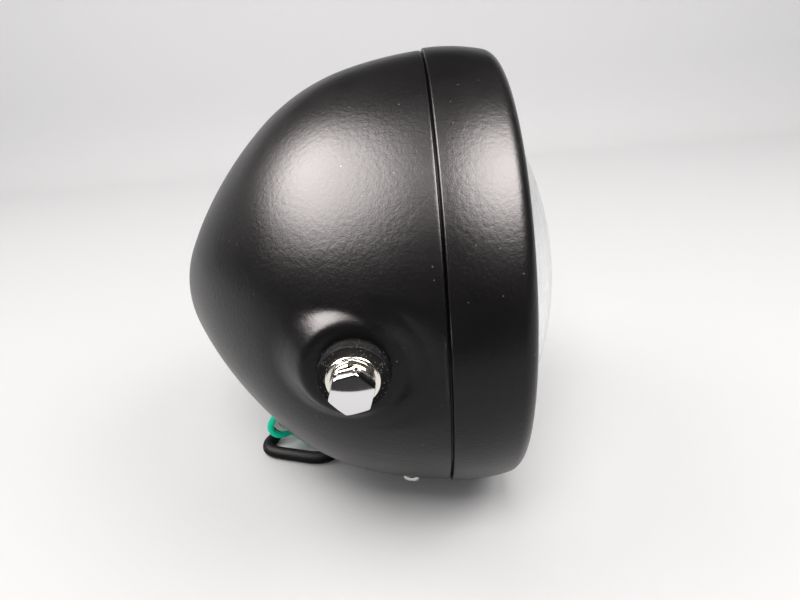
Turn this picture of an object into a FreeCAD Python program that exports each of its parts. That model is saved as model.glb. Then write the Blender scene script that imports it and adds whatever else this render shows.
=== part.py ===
import FreeCAD, Part

import os
from math import asin, cos, degrees, pi, radians, sin, sqrt, tan

# Side mounted LED headlight for a motorbike.
# Millimetres. The origin is where the side bolts' axis crosses the lamp's axis.
# +X looks out of the lens, +Y runs along the bolts' axis, +Z is up.

# Steel sheet and general clearances
sheet = 1.2
edge_round = 0.9
seat_clear = 0.3
slip_clear = 0.05
hole_clear = 0.25

# Bucket: its section runs from the mouth to the tail in tangent arcs
mouth_x = 29.8
mouth_radius = 90.7
mouth_angle = 3.8
skirt_radius = 159.0
skirt_turn = 10.8
shoulder_radius = 85.4
shoulder_turn = 27.9
flank_radius = 174.0
flank_turn = 18.9

# Side bosses and the bolt stacks on them
boss_proud = 0.152
boss_radius = 17.2
boss_slope = 37.0
boss_depth = 16.0
bolt_radius = 4.0
bolt_length = 20.0
head_across = 13.0
head_height = 5.3
head_dome = 45.0
head_angle = 12.4
bush_radius = 11.5
bush_length = 5.1
washer_radius = 8.7
washer_thick = 1.6
split_radius = 7.2
split_thick = 3.1
split_gap = 1.6
weld_nut_height = 6.5

# Rim: crowned wall, rounded front corner, lip turned back to the lens
seam_gap = 1.1
rim_proud = 0.7
crown_radius = 78.0
crown_angle = 4.0
crown_turn = 17.0
corner_radius = 7.0
lip_radius = 4.0
lip_turn = 60.0
lip_length = 4.0
spigot_clear = 1.3
spigot_length = 6.0

# Tongues of the rim inside the bucket, and the screws that hold them
tongue_reach = 22.9
tongue_width = 14.0
tongue_clear = 0.5
rim_screw_back = 15.0
rim_screw_angle = 35.0
rim_screw_radius = 2.0
rim_screw_length = 9.0
rim_screw_head_radius = 3.6
rim_screw_head_height = 2.0
clip_nut_across = 8.0
clip_nut_height = 3.2

# Lens and its gasket
lens_proud = 21.1
lens_edge_back = 9.34
lens_thick = 3.0
lens_overlap = 2.65
skirt_thick = 2.5
gasket_tuck = 0.35
gasket_width = 3.0
gasket_front_reach = 6.0

# Lamp unit: housing with a flange, a groove for the lens and a shelf for the reflector
clip_height = 7.4
clip_half_width = 14.0
clip_strip = 0.9
clip_count = 4
flange_clear = 1.6
flange_thick = 3.0
groove_depth = 1.3
groove_wall = 2.0
groove_wall_reach = 4.5
seal_thick = 0.9
inner_wall = 1.8
inner_wall_reach = 1.5
bowl_inset = 1.3
shelf_depth = 8.5
shelf_thick = 2.5
shelf_clear = 0.3
housing_wall = 2.5
housing_back_x = -10.0
housing_back_radius = 47.0
housing_hole_radius = 22.0

# Reflector: faceted paraboloid on the shelf
reflector_vertex_x = -4.0
reflector_margin = 2.4
reflector_hole_radius = 23.0
reflector_rows = 5
reflector_facets = 32
reflector_wall = 2.2
reflector_flange_thick = 1.2
reflector_flange_clear = 0.4

# Position light: board, diodes, guide ring and bezel in front of the reflector's flange
ring_width = 4.0
ring_board_thick = 1.2
ring_led_count = 12
ring_led_size = 2.6
ring_led_height = 0.7
guide_height = 5.2
bezel_height = 7.0
bezel_wall = 0.85

# Bridge that carries the main diodes, its cover and its boards
bridge_half_width = 14.0
bridge_thick = 6.4
bridge_nose = 9.87
bridge_disc_clear = 0.4
board_thick = 1.6
board_tail = 15.13
board_margin = 1.0
led_count = 4
led_pitch = 5.4
led_size = 3.6
led_height = 0.9
cover_radius = 8.0
cover_wall = 1.5
cover_lip = 2.87
cover_overhang = 3.0
board_screw_radius = 1.2
board_screw_length = 5.0
board_screw_head_radius = 2.2
board_screw_head_height = 1.3
board_screw_back = 10.13
board_screw_y = 9.0

# Heat sink behind the housing, with the driver inside it
sink_flange_width = 9.0
sink_flange_thick = 3.0
can_radius = 24.0
can_wall = 4.0
can_length = 24.0
fin_height = 10.0
fin_thick = 2.0
fin_count = 24
fin_gap_angle = 25.0
sink_screw_count = 3
sink_screw_out = 5.5
sink_screw_radius = 1.5
sink_screw_length = 6.5
sink_screw_head_radius = 2.6
sink_screw_head_height = 2.2
post_radius = 2.6
post_inset = 4.5
post_length = 9.0
driver_clear = 1.5
driver_thick = 1.6
cap_thick = 2.5
cap_spigot_length = 4.0
cap_seal_width = 1.4
cap_seal_thick = 1.8
cap_screw_length = 8.0
vent_radius = 4.2
vent_height = 5.0
vent_circle = 39.0
vent_angle = 60.0

# Lead: gland on the heat sink, grommet in the bucket, cable and two thin wires
gland_x = -22.0
gland_across = 13.0
gland_length = 6.5
gland_neck_radius = 4.4
lead_bend = 12.0
grommet_x = -42.65
grommet_radius = 11.0
grommet_neck_radius = 8.2
grommet_inner_radius = 9.8
grommet_outer_height = 3.0
grommet_depth = 4.0
grommet_tuck = 0.6
cable_diameter = 6.0
cable_offset = 3.2
wire_diameter = 3.2
green_offset = -5.1
white_offset = -1.7
cable_straight = 6.0
green_straight = 5.0
white_straight = 4.5
cable_rise = 0.4
terminal_radius = 2.0
terminal_length = 8.0
sleeve_radius = 2.3
sleeve_length = 7.0
plug_length = 22.0
plug_width = 27.0
plug_height = 16.0
plug_round = 2.0
relief_radius = 4.4
relief_length = 8.0
blade_width = 7.7
blade_thick = 0.8
blade_length = 11.0
blade_spread = 8.0

V = FreeCAD.Vector
axis_x = V(1, 0, 0)
axis_y = V(0, 1, 0)
axis_z = V(0, 0, 1)
centre = V(0, 0, 0)


# General shapes

def section_point(x, r):
    """A point of a section that turns about the lamp's axis."""
    return V(x, 0, r)


def ring(points, start=0.0, sweep=360.0):
    """Solid of revolution about the lamp's axis from a polygon of (x, radius)."""
    corners = [section_point(x, r) for x, r in points]
    face = Part.Face(Part.makePolygon(corners + corners[:1]))
    solid = face.revolve(centre, axis_x, sweep)
    solid.rotate(centre, axis_x, start)
    return solid


def tube_ring(x0, x1, inner, outer):
    """Plain ring between two stations, with a square section."""
    return ring([(x0, inner), (x1, inner), (x1, outer), (x0, outer)])


def rod(start, direction, radius, length):
    """Cylinder from a point along a direction."""
    return Part.makeCylinder(radius, length, start, direction)


def box(x0, x1, y0, y1, z0, z1):
    """Box between two corners."""
    return Part.makeBox(x1 - x0, y1 - y0, z1 - z0, V(x0, y0, z0))


def hex_prism(across, height, twist=0.0):
    """Hexagonal prism on the XY plane, with a corner turned by twist from +X."""
    reach = across / sqrt(3)
    corners = [V(reach * cos(radians(twist + 60 * k)), reach * sin(radians(twist + 60 * k)), 0)
               for k in range(7)]
    return Part.Face(Part.makePolygon(corners)).extrude(V(0, 0, height))


def turned(solid, angle):
    """A copy of the solid turned about the lamp's axis."""
    copy = solid.copy()
    copy.rotate(centre, axis_x, angle)
    return copy


def around(solid, count, start=0.0):
    """Copies of a solid spaced evenly about the lamp's axis."""
    return [turned(solid, start + 360.0 * k / count) for k in range(count)]


def mirrored(solid):
    """The same piece on the other side of the lamp."""
    return solid.mirror(centre, axis_y)


def place_along(solid, origin, direction):
    """Move a solid made along +Z so that its axis runs from origin along direction."""
    copy = solid.copy()
    copy.Placement = FreeCAD.Placement(origin, FreeCAD.Rotation(axis_z, direction))
    return copy


def arc_edge(cx, cr, radius, first, last):
    """Arc of a section: the angle is that of its tangent, 0 along the lamp's axis."""
    stops = [radians(first), radians((first + last) / 2), radians(last)]
    points = [section_point(cx - radius * sin(a), cr + radius * cos(a)) for a in stops]
    return Part.Arc(*points).toShape()


def ends(edge):
    """First and last point of an edge, in its own direction."""
    return edge.valueAt(edge.FirstParameter), edge.valueAt(edge.LastParameter)


def line(a, b):
    """Straight edge."""
    return Part.LineSegment(a, b).toShape()


def revolved(edges):
    """Solid of revolution about the lamp's axis from the edges of a closed section."""
    wire = Part.Wire(Part.__sortEdges__(edges))
    return Part.Face(wire).revolve(centre, axis_x, 360)


def cord_tube(points, diameter, bend=None):
    """Round tube along straight runs joined by tangent arcs, as large as the runs allow."""
    edges = []
    radii = []
    here = points[0]
    for before, corner, after in zip(points, points[1:], points[2:]):
        back = before - corner
        ahead = after - corner
        half_turn = (pi - back.getAngle(ahead)) / 2
        reach = 0.45 * min(back.Length, ahead.Length)
        radius = bend or reach / tan(half_turn)
        reach = radius * tan(half_turn)
        radii.append(radius)
        back.normalize()
        ahead.normalize()
        first = corner + back * reach
        last = corner + ahead * reach
        inward = back + ahead
        inward.normalize()
        middle = corner + inward * (radius / cos(half_turn) - radius)
        edges.append(line(here, first))
        edges.append(Part.Arc(first, middle, last).toShape())
        here = last
    edges.append(line(here, points[-1]))
    path = Part.Wire(edges)
    rim_circle = Part.Circle(points[0], points[1] - points[0], diameter / 2)
    section = Part.Wire(rim_circle.toShape())
    tube = path.makePipeShell([section], True, False)
    ratio = tube.Volume / (pi * diameter ** 2 / 4 * path.Length)
    print("tube", round(path.Length, 1), "mm long, volume ratio", round(ratio, 4))
    print("  bend radii", [round(r, 1) for r in radii])
    return tube


# Bucket

def bucket_spans():
    """Arcs of the bucket's outside: centre x, centre radius, arc radius, first and last angle."""
    spans = []
    x, r, angle = mouth_x, mouth_radius, mouth_angle
    arcs = ((skirt_radius, skirt_turn), (shoulder_radius, shoulder_turn), (flank_radius, flank_turn))
    for radius, turn in arcs:
        cx = x + radius * sin(radians(angle))
        cr = r - radius * cos(radians(angle))
        spans.append((cx, cr, radius, angle, angle + turn))
        angle += turn
        x = cx - radius * sin(radians(angle))
        r = cr + radius * cos(radians(angle))
    nose_radius = r / cos(radians(angle))
    spans.append((x + nose_radius * sin(radians(angle)), 0.0, nose_radius, angle, 90.0))
    return spans


def bucket_surface(x):
    """Outer radius of the bucket and its tangent's angle at a station."""
    for cx, cr, radius, first, last in bucket_spans():
        angle = degrees(asin((cx - x) / radius))
        if angle <= last:
            return cr + radius * cos(radians(angle)), angle


boss_face = bucket_surface(0)[0] + boss_proud


def bucket_body(inset):
    """Solid of the bucket's outside, moved inwards by inset."""
    edges = [arc_edge(cx, cr, radius - inset, first, last)
             for cx, cr, radius, first, last in bucket_spans()]
    front = ends(edges[0])[0]
    tail = ends(edges[-1])[1]
    foot = V(front.x, 0, 0)
    return revolved([line(foot, front)] + edges + [line(tail, foot)])


def boss_cone(inset):
    """Pressed boss on the +Y side, down to inside the bucket's wall."""
    slope = radians(boss_slope)
    top_radius = boss_radius + inset * (tan(slope) - 1 / cos(slope))
    return Part.makeCone(top_radius + boss_depth * tan(slope), top_radius, boss_depth,
                         V(0, boss_face - inset - boss_depth, 0), axis_y)


def boss_recess(inset):
    """What the boss's flat takes from the bucket in front of the bolt."""
    slope = radians(boss_slope)
    floor_radius = boss_radius + inset * (1 / cos(slope) - tan(slope))
    return Part.makeCone(floor_radius, floor_radius + boss_depth * tan(slope), boss_depth,
                         V(0, boss_face - inset, 0), axis_y)


def pressed_body(inset):
    """Bucket's outside with both bosses pressed into it, moved inwards by inset."""
    cone = boss_cone(inset)
    recess = boss_recess(inset)
    body = bucket_body(inset).fuse([cone, mirrored(cone)])
    return body.cut([recess, mirrored(recess)])


def screw_site():
    """Where a rim screw meets the bucket, before it is turned to its place: point and outward normal."""
    x = mouth_x - rim_screw_back
    radius, angle = bucket_surface(x)
    return section_point(x, radius), V(-sin(radians(angle)), 0, cos(radians(angle)))


def grommet_site():
    """Where the lead leaves the bucket: point on its underside and outward normal."""
    radius, angle = bucket_surface(grommet_x)
    return V(grommet_x, 0, -radius), V(-sin(radians(angle)), 0, -cos(radians(angle)))


def at_screws(solid):
    """A piece made at the top of the lamp, put at both rim screws."""
    return [turned(solid, 180 + side * rim_screw_angle) for side in (1, -1)]


def make_bucket():
    """Pressed shell with bosses, an inward lip at the mouth, and its holes."""
    cavity = pressed_body(sheet).cut(tube_ring(mouth_x - sheet, mouth_x + 2 * sheet, 0, 2 * mouth_radius))
    lip_hole = rod(V(mouth_x - 2 * sheet, 0, 0), axis_x, spigot_radius + seat_clear, 4 * sheet)
    shell = pressed_body(0).cut([cavity, lip_hole])
    mouth_edges = [e for e in shell.Edges
                   if abs(e.BoundBox.XMin - mouth_x) < 0.01 and e.BoundBox.ZMax > mouth_radius - 0.01]
    shell = shell.makeFillet(edge_round, mouth_edges)
    bolt_hole = rod(V(0, -2 * boss_face, 0), axis_y, bolt_radius + hole_clear, 4 * boss_face)
    point, normal = screw_site()
    screw_hole = rod(point - normal * 3 * sheet, normal, rim_screw_radius + hole_clear, 6 * sheet)
    exit_point, exit_normal = grommet_site()
    cable_hole = rod(exit_point - exit_normal * grommet_depth, exit_normal, grommet_neck_radius,
                     2 * grommet_depth)
    return shell.cut([bolt_hole, cable_hole] + at_screws(screw_hole))


# Side bolts, with what is clamped under them

def side_stack():
    """Stations along the bolt's axis: bush, washer, split washer, head."""
    bush_end = boss_face + bush_length
    washer_end = bush_end + washer_thick
    split_end = washer_end + split_thick
    return bush_end, washer_end, split_end


def both_sides(solid):
    """A piece on the +Y bolt and its twin on the other side."""
    return Part.makeCompound([solid, mirrored(solid)])


def washer_between(start, end, inner, outer):
    """Plain washer on the +Y bolt's axis."""
    disc = rod(V(0, start, 0), axis_y, outer, end - start)
    return disc.cut(rod(V(0, start - 1, 0), axis_y, inner, end - start + 2))


def make_side_bolts():
    """Hexagon bolts with a slightly domed head."""
    head_start = side_stack()[2]
    dome = Part.makeSphere(head_dome, V(0, 0, head_height - head_dome))
    head = hex_prism(head_across, head_height, -head_angle).common(dome)
    head = place_along(head, V(0, head_start, 0), axis_y)
    shank = rod(V(0, head_start - bolt_length, 0), axis_y, bolt_radius, bolt_length)
    return both_sides(head.fuse(shank).removeSplitter())


def make_split_washers():
    """Spring washers with their cut upwards."""
    start, end = side_stack()[1:]
    washer = washer_between(start, end, bolt_radius + hole_clear, split_radius)
    cut = box(-split_gap / 2, split_gap / 2, start - 1, end + 1, 0, 2 * split_radius)
    return both_sides(washer.cut(cut))


def make_flat_washers():
    start, end = side_stack()[:2]
    return both_sides(washer_between(start, end, bolt_radius + hole_clear, washer_radius))


def make_rubber_bushes():
    bush = washer_between(boss_face, side_stack()[0], bolt_radius + hole_clear, bush_radius)
    return both_sides(bush)


def make_weld_nuts():
    """Nuts behind the bosses."""
    nut = hex_prism(head_across, weld_nut_height)
    nut = nut.cut(rod(V(0, 0, -1), axis_z, bolt_radius + slip_clear, weld_nut_height + 2))
    return both_sides(place_along(nut, V(0, boss_face - sheet - weld_nut_height, 0), axis_y))


# Rim

rim_rear_x = mouth_x + seam_gap
rim_rear_radius = mouth_radius + rim_proud
spigot_radius = mouth_radius - sheet - spigot_clear


def rim_spans():
    """Arcs of the rim's outside from its rear edge to its lip, and the lip's tip and direction."""
    spans = []
    x, r, angle = rim_rear_x, rim_rear_radius, crown_angle
    crown_end = crown_angle - crown_turn
    for radius, end in ((crown_radius, crown_end), (corner_radius, -90.0), (lip_radius, -90.0 - lip_turn)):
        cx = x + radius * sin(radians(angle))
        cr = r - radius * cos(radians(angle))
        spans.append((cx, cr, radius, angle, end))
        angle = end
        x = cx - radius * sin(radians(angle))
        r = cr + radius * cos(radians(angle))
    return spans


def lip_line(inset):
    """The lip's straight stretch, outside or moved in by the sheet: its two ends."""
    cx, cr, radius, first, last = rim_spans()[-1]
    bend = radians(last)
    start = section_point(cx - (radius - inset) * sin(bend), cr + (radius - inset) * cos(bend))
    return start, start + V(cos(bend), 0, sin(bend)) * lip_length


def rim_front():
    """Station of the rim's front."""
    cx, cr, radius, first, last = rim_spans()[1]
    return cx + radius


def tongue_radius():
    """Outer radius of a tongue at its free end, inside the bucket."""
    return bucket_surface(rim_rear_x - tongue_reach)[0] - sheet - tongue_clear


def make_rim():
    """Ring pressed in one piece with its spigot and two tongues."""
    spans = rim_spans()
    outside = [arc_edge(*span) for span in spans]
    inside = []
    for number, (cx, cr, radius, first, last) in enumerate(spans):
        if number == 0:
            first = degrees(asin((cx - rim_rear_x - sheet) / (radius - sheet)))
        inside.append(arc_edge(cx, cr, radius - sheet, first, last))
    outer_start, outer_tip = lip_line(0)
    inner_start, inner_tip = lip_line(sheet)
    spigot_end = rim_rear_x - spigot_length
    corners = [ends(inside[0])[0], section_point(rim_rear_x + sheet, spigot_radius - sheet),
               section_point(spigot_end, spigot_radius - sheet), section_point(spigot_end, spigot_radius),
               section_point(rim_rear_x, spigot_radius), ends(outside[0])[0]]
    edges = outside + inside + [line(outer_start, outer_tip), line(inner_start, inner_tip),
                                line(outer_tip, inner_tip)]
    edges += [line(a, b) for a, b in zip(corners, corners[1:])]
    rim = revolved(edges)
    rear_edges = [e for e in rim.Edges if abs(e.BoundBox.XMin - rim_rear_x) < 0.01
                  and abs(e.BoundBox.ZMax - rim_rear_radius) < 0.01 and e.BoundBox.XLength < 0.01]
    rim = rim.makeFillet(edge_round, rear_edges)
    tongue_end = rim_rear_x - tongue_reach
    end_radius = tongue_radius()
    sweep = degrees(tongue_width / spigot_radius)
    tongue = ring([(spigot_end + sheet, spigot_radius), (spigot_end, spigot_radius), (tongue_end, end_radius),
                   (tongue_end, end_radius - sheet), (spigot_end, spigot_radius - sheet),
                   (spigot_end + sheet, spigot_radius - sheet)], -sweep / 2, sweep)
    point, normal = screw_site()
    hole = rod(point - normal * 6 * sheet, normal, rim_screw_radius + hole_clear, 8 * sheet)
    return rim.fuse(at_screws(tongue)).cut(at_screws(hole)).removeSplitter()


def tongue_gap():
    """Distance from the bucket's outside, along the rim screw, to the tongue's inner face."""
    tongue_end = rim_rear_x - tongue_reach
    spigot_end = rim_rear_x - spigot_length
    point, normal = screw_site()
    slope = (spigot_radius - tongue_radius()) / (spigot_end - tongue_end)
    radius_here = tongue_radius() + slope * (point.x - tongue_end)
    return (point.z - radius_here) * normal.z + sheet


def make_rim_screws():
    """Screws through the bucket into the tongues' nuts."""
    point, normal = screw_site()
    drop = rim_screw_head_radius ** 2 / (2 * point.z)
    head = rod(point - normal * drop, normal, rim_screw_head_radius, rim_screw_head_height + drop)
    top = [e for e in head.Edges if e.CenterOfMass.sub(point).dot(normal) > rim_screw_head_height * 0.9]
    head = head.makeFillet(rim_screw_head_height / 2, top)
    shank = rod(point - normal * rim_screw_length, normal, rim_screw_radius, rim_screw_length)
    screw = head.fuse(shank).cut(bucket_body(0).cut(rod(point - normal * rim_screw_length, normal,
                                                        rim_screw_radius + hole_clear, 2 * rim_screw_length)))
    return Part.makeCompound(at_screws(screw))


def make_rim_clip_nuts():
    """Square nuts on the inside of the tongues."""
    point, normal = screw_site()
    half = clip_nut_across / 2
    nut = box(-half, half, -half, half, 0, clip_nut_height)
    nut = nut.cut(rod(V(0, 0, -1), axis_z, rim_screw_radius + slip_clear, clip_nut_height + 2))
    start = point - normal * (tongue_gap() + seat_clear + clip_nut_height)
    return Part.makeCompound(at_screws(place_along(nut, start, normal)))


# Lens and gasket

lens_radius = lip_line(sheet)[1].z + lens_overlap
gasket_inner_radius = lip_line(sheet)[1].z + gasket_tuck
gasket_outer_radius = lens_radius + gasket_width
dome_rise = lens_proud + lens_edge_back
dome_radius = (lens_radius ** 2 + dome_rise ** 2) / (2 * dome_rise)
dome_x = rim_front() + lens_proud - dome_radius
flange_rear_x = rim_rear_x + sheet + clip_height
flange_front_x = flange_rear_x + flange_thick
groove_floor_x = flange_front_x - groove_depth
groove_top_x = flange_front_x + groove_wall_reach
lens_rear_x = groove_floor_x + seal_thick


def dome_station(radius, inset=0.0):
    """Station where the dome, or its inside, has a given radius."""
    return dome_x + sqrt((dome_radius - inset) ** 2 - radius ** 2)


def dome_arc(radius, inset):
    """Arc of the dome from the apex to a given radius."""
    reach = dome_radius - inset
    half = asin(radius / reach) / 2
    middle = section_point(dome_x + reach * cos(half), reach * sin(half))
    return Part.Arc(section_point(dome_x + reach, 0), middle,
                    section_point(dome_station(radius, inset), radius)).toShape()


def make_lens():
    """Clear dome with a short skirt that stands in the housing's groove."""
    skirt_inner = lens_radius - skirt_thick
    outside = dome_arc(lens_radius, 0)
    inside = dome_arc(skirt_inner, lens_thick)
    corners = [ends(outside)[1], section_point(lens_rear_x, lens_radius),
               section_point(lens_rear_x, skirt_inner), ends(inside)[1]]
    edges = [outside, inside, line(ends(outside)[0], ends(inside)[0])]
    return revolved(edges + [line(a, b) for a, b in zip(corners, corners[1:])])


def make_lens_gasket():
    """Rubber ring between the lens's edge, the housing's wall and the rim's lip."""
    inner_start, inner_tip = lip_line(sheet)
    slope = (inner_start.x - inner_tip.x) / (inner_start.z - inner_tip.z)
    under_lip = inner_tip.x + slope * (gasket_inner_radius - inner_tip.z) - seat_clear
    front = dome_station(lens_radius) + gasket_front_reach
    front_radius = gasket_inner_radius + (front - under_lip) / slope
    rear = groove_top_x + slip_clear
    outer = lens_radius + slip_clear
    return ring([(dome_station(gasket_inner_radius) + slip_clear, gasket_inner_radius),
                 (under_lip, gasket_inner_radius), (front, front_radius), (front, gasket_outer_radius),
                 (rear, gasket_outer_radius), (rear, outer),
                 (dome_station(lens_radius) + 2 * slip_clear, outer)])


# Lamp unit

groove_inner = lens_radius - skirt_thick - seat_clear
groove_outer = lens_radius + seat_clear
wall_inner = groove_inner - inner_wall
flange_radius = rim_rear_radius - sheet - flange_clear
bezel_inner_radius = wall_inner - slip_clear - bezel_wall
ring_outer_radius = bezel_inner_radius - 2 * slip_clear
ring_inner_radius = ring_outer_radius - ring_width
reflector_mouth_radius = ring_inner_radius - reflector_margin
shelf_radius = reflector_mouth_radius + reflector_wall + shelf_clear
shelf_front_x = flange_front_x - shelf_depth
back_inner_x = housing_back_x + housing_wall
sink_screw_circle = can_radius + sink_screw_out


def make_unit_housing():
    """Bowl with the flange, the lens's groove and the reflector's shelf in one piece."""
    rear_radius = groove_outer + groove_wall - bowl_inset
    slope = (rear_radius - housing_back_radius) / (flange_rear_x - housing_back_x)
    thickness = housing_wall * sqrt(1 + slope ** 2)
    shelf_rear_x = shelf_front_x - shelf_thick

    def bowl_inside(x):
        return housing_back_radius + slope * (x - housing_back_x) - thickness

    body = ring([(flange_rear_x, flange_radius), (flange_front_x, flange_radius),
                 (flange_front_x, groove_outer + groove_wall), (groove_top_x, groove_outer + groove_wall),
                 (groove_top_x, groove_outer), (groove_floor_x, groove_outer),
                 (groove_floor_x, groove_inner), (flange_front_x + inner_wall_reach, groove_inner),
                 (flange_front_x + inner_wall_reach, wall_inner), (shelf_front_x, wall_inner),
                 (shelf_front_x, shelf_radius), (shelf_rear_x, shelf_radius),
                 (shelf_rear_x, bowl_inside(shelf_rear_x)), (back_inner_x, bowl_inside(back_inner_x)),
                 (back_inner_x, housing_hole_radius), (housing_back_x, housing_hole_radius),
                 (housing_back_x, housing_back_radius), (flange_rear_x, rear_radius)])
    screw_hole = rod(V(housing_back_x - 1, 0, sink_screw_circle), axis_x,
                     sink_screw_radius + slip_clear, housing_wall + 2)
    vent_hole = rod(V(housing_back_x - 1, 0, vent_circle), axis_x, vent_radius / 2 + slip_clear,
                    housing_wall + 2)
    return body.cut(around(screw_hole, sink_screw_count) + [turned(vent_hole, vent_angle)])


def make_lens_seal():
    """Bead of sealant under the lens's skirt."""
    return tube_ring(groove_floor_x, lens_rear_x, lens_radius - skirt_thick, lens_radius)


def make_retaining_clips():
    """Bent spring strips between the rim's ledge and the housing's flange."""
    low = rim_rear_x + sheet + slip_clear
    high = flange_rear_x - slip_clear
    half = clip_half_width
    outer = sqrt((rim_rear_radius - sheet - seat_clear) ** 2 - half ** 2)
    inner = spigot_radius - sheet - 2 * sheet
    waist = low + clip_strip
    stops = [(-half, low), (-half / 2, high - clip_strip), (0, waist), (half / 2, high - clip_strip),
             (half, low)]
    lower = [V(x, y, inner) for y, x in stops]
    upper = [V(x + clip_strip, y, inner) for y, x in reversed(stops)]
    face = Part.Face(Part.makePolygon(lower + upper + lower[:1]))
    clip = face.extrude(V(0, 0, outer - inner))
    return Part.makeCompound(around(clip, clip_count, 180.0 / clip_count))


# Reflector

flange_seat_x = shelf_front_x + seat_clear
reflector_mouth_x = flange_seat_x + reflector_flange_thick
focal_length = reflector_mouth_radius ** 2 / (4 * (reflector_mouth_x - reflector_vertex_x))
focus_x = reflector_vertex_x + focal_length


def faceted_ring(section, count):
    """Solid made of flat facets: a closed section of (x, radius) repeated about the lamp's axis."""
    def corner(point, k):
        angle = 2 * pi * k / count
        return V(point[0], point[1] * sin(angle), point[1] * cos(angle))

    faces = []
    for a, b in zip(section, section[1:] + section[:1]):
        for k in range(count):
            quad = [corner(a, k), corner(b, k), corner(b, k + 1), corner(a, k + 1), corner(a, k)]
            faces.append(Part.Face(Part.makePolygon(quad)))
    solid = Part.Solid(Part.Shell(faces))
    if solid.Volume < 0:
        solid.reverse()
    return solid


def make_reflector():
    """Paraboloid in rows of flat facets, with the flange that rests on the shelf."""
    step = (reflector_mouth_radius - reflector_hole_radius) / (reflector_rows - 1)
    radii = [reflector_hole_radius + step * k for k in range(reflector_rows)]
    front = [(reflector_vertex_x + r ** 2 / (4 * focal_length), r) for r in radii]
    back = [(x - reflector_wall, r) for x, r in reversed(front)]
    flange_radius_here = wall_inner - reflector_flange_clear
    flange = [(reflector_mouth_x, flange_radius_here), (flange_seat_x, flange_radius_here),
              (flange_seat_x, reflector_mouth_radius + reflector_wall)]
    return faceted_ring(front + flange + back, reflector_facets)


# Position light

ring_board_x = reflector_mouth_x + slip_clear
ring_led_x = ring_board_x + ring_board_thick
guide_x = ring_led_x + ring_led_height + slip_clear


def make_position_board():
    return tube_ring(ring_board_x, ring_led_x, ring_inner_radius, ring_outer_radius)


def make_position_leds():
    """Small diodes around the ring board."""
    half = ring_led_size / 2
    middle = (ring_inner_radius + ring_outer_radius) / 2
    led = box(ring_led_x, ring_led_x + ring_led_height, -half, half, middle - half, middle + half)
    return Part.makeCompound(around(led, ring_led_count))


def make_light_guide():
    """Clear ring with a rounded front."""
    radius = (ring_outer_radius - ring_inner_radius) / 2
    middle = ring_inner_radius + radius
    top = guide_x + guide_height
    flank = top - radius
    arc = Part.Arc(section_point(flank, ring_inner_radius), section_point(top, middle),
                   section_point(flank, ring_outer_radius)).toShape()
    corners = [section_point(flank, ring_outer_radius), section_point(guide_x, ring_outer_radius),
               section_point(guide_x, ring_inner_radius), section_point(flank, ring_inner_radius)]
    return revolved([arc] + [line(a, b) for a, b in zip(corners, corners[1:])])


def make_trim_bezel():
    """Black ring between the light guide and the housing's wall."""
    return tube_ring(ring_board_x, ring_board_x + bezel_height, bezel_inner_radius, wall_inner - slip_clear)


# Bridge and main diodes

bridge_front_x = focus_x + bridge_nose
board_back_x = focus_x - board_tail
cover_back_x = focus_x + cover_lip
board_screw_x = focus_x - board_screw_back
bridge_top = bridge_thick / 2
board_top = bridge_top + board_thick


def above_and_below(solid):
    """A piece on the bridge's top and its twin underneath."""
    return [solid, solid.mirror(centre, axis_z)]


def board_screw_spots():
    """The board screws' places on the bridge's top."""
    return [V(board_screw_x, side * board_screw_y, board_top) for side in (1, -1)]


def make_bridge():
    """Aluminium bar on a round foot that closes the housing's hole."""
    foot = rod(V(housing_back_x, 0, 0), axis_x, housing_hole_radius - bridge_disc_clear, housing_wall)
    bar = box(back_inner_x, bridge_front_x, -bridge_half_width, bridge_half_width, -bridge_top, bridge_top)
    holes = []
    for spot in board_screw_spots():
        hole = rod(spot, -axis_z, board_screw_radius + slip_clear, board_screw_length)
        holes += above_and_below(hole)
    return foot.fuse(bar).cut(holes).removeSplitter()


def beam_board():
    """Circuit board on the bridge's top."""
    half = bridge_half_width - board_margin
    front = bridge_front_x - cover_wall - board_margin
    board = box(board_back_x, front, -half, half, bridge_top, board_top)
    holes = [rod(spot, -axis_z, board_screw_radius + slip_clear, board_screw_length)
             for spot in board_screw_spots()]
    return board.cut(holes)


def beam_leds():
    """Row of diodes at the reflector's focus."""
    half = led_size / 2
    span = led_pitch * (led_count - 1)
    places = [led_pitch * k - span / 2 for k in range(led_count)]
    return [box(focus_x - half, focus_x + half, y - half, y + half, board_top, board_top + led_height)
            for y in places]


def make_board_screws():
    """Screws that hold both boards to the bridge."""
    screws = []
    for spot in board_screw_spots():
        head = rod(spot, axis_z, board_screw_head_radius, board_screw_head_height)
        shank = rod(spot, -axis_z, board_screw_radius, board_screw_length - board_thick)
        screws += above_and_below(head.fuse(shank))
    return Part.makeCompound(screws)


def make_bridge_cover():
    """Round nosed cap over the bridge's end, with lips that hide the diodes from in front."""
    half = bridge_half_width + cover_overhang
    nose = rod(V(bridge_front_x, -half, 0), axis_y, cover_radius, 2 * half)
    lips = box(cover_back_x, bridge_front_x, -half, half, -cover_radius, cover_radius)
    inner = cover_radius - cover_wall
    web = bridge_front_x - cover_wall
    hollow = box(cover_back_x - 1, web, -half - 1, half + 1, -inner, inner)
    slot = box(web - 1, bridge_front_x + slip_clear, -bridge_half_width - slip_clear,
               bridge_half_width + slip_clear, -bridge_top - slip_clear, bridge_top + slip_clear)
    behind = box(cover_back_x - 2 * cover_radius, cover_back_x, -half - 1, half + 1,
                 -2 * cover_radius, 2 * cover_radius)
    return nose.fuse(lips).cut([hollow, slot, behind]).removeSplitter()


# Heat sink and driver

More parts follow.
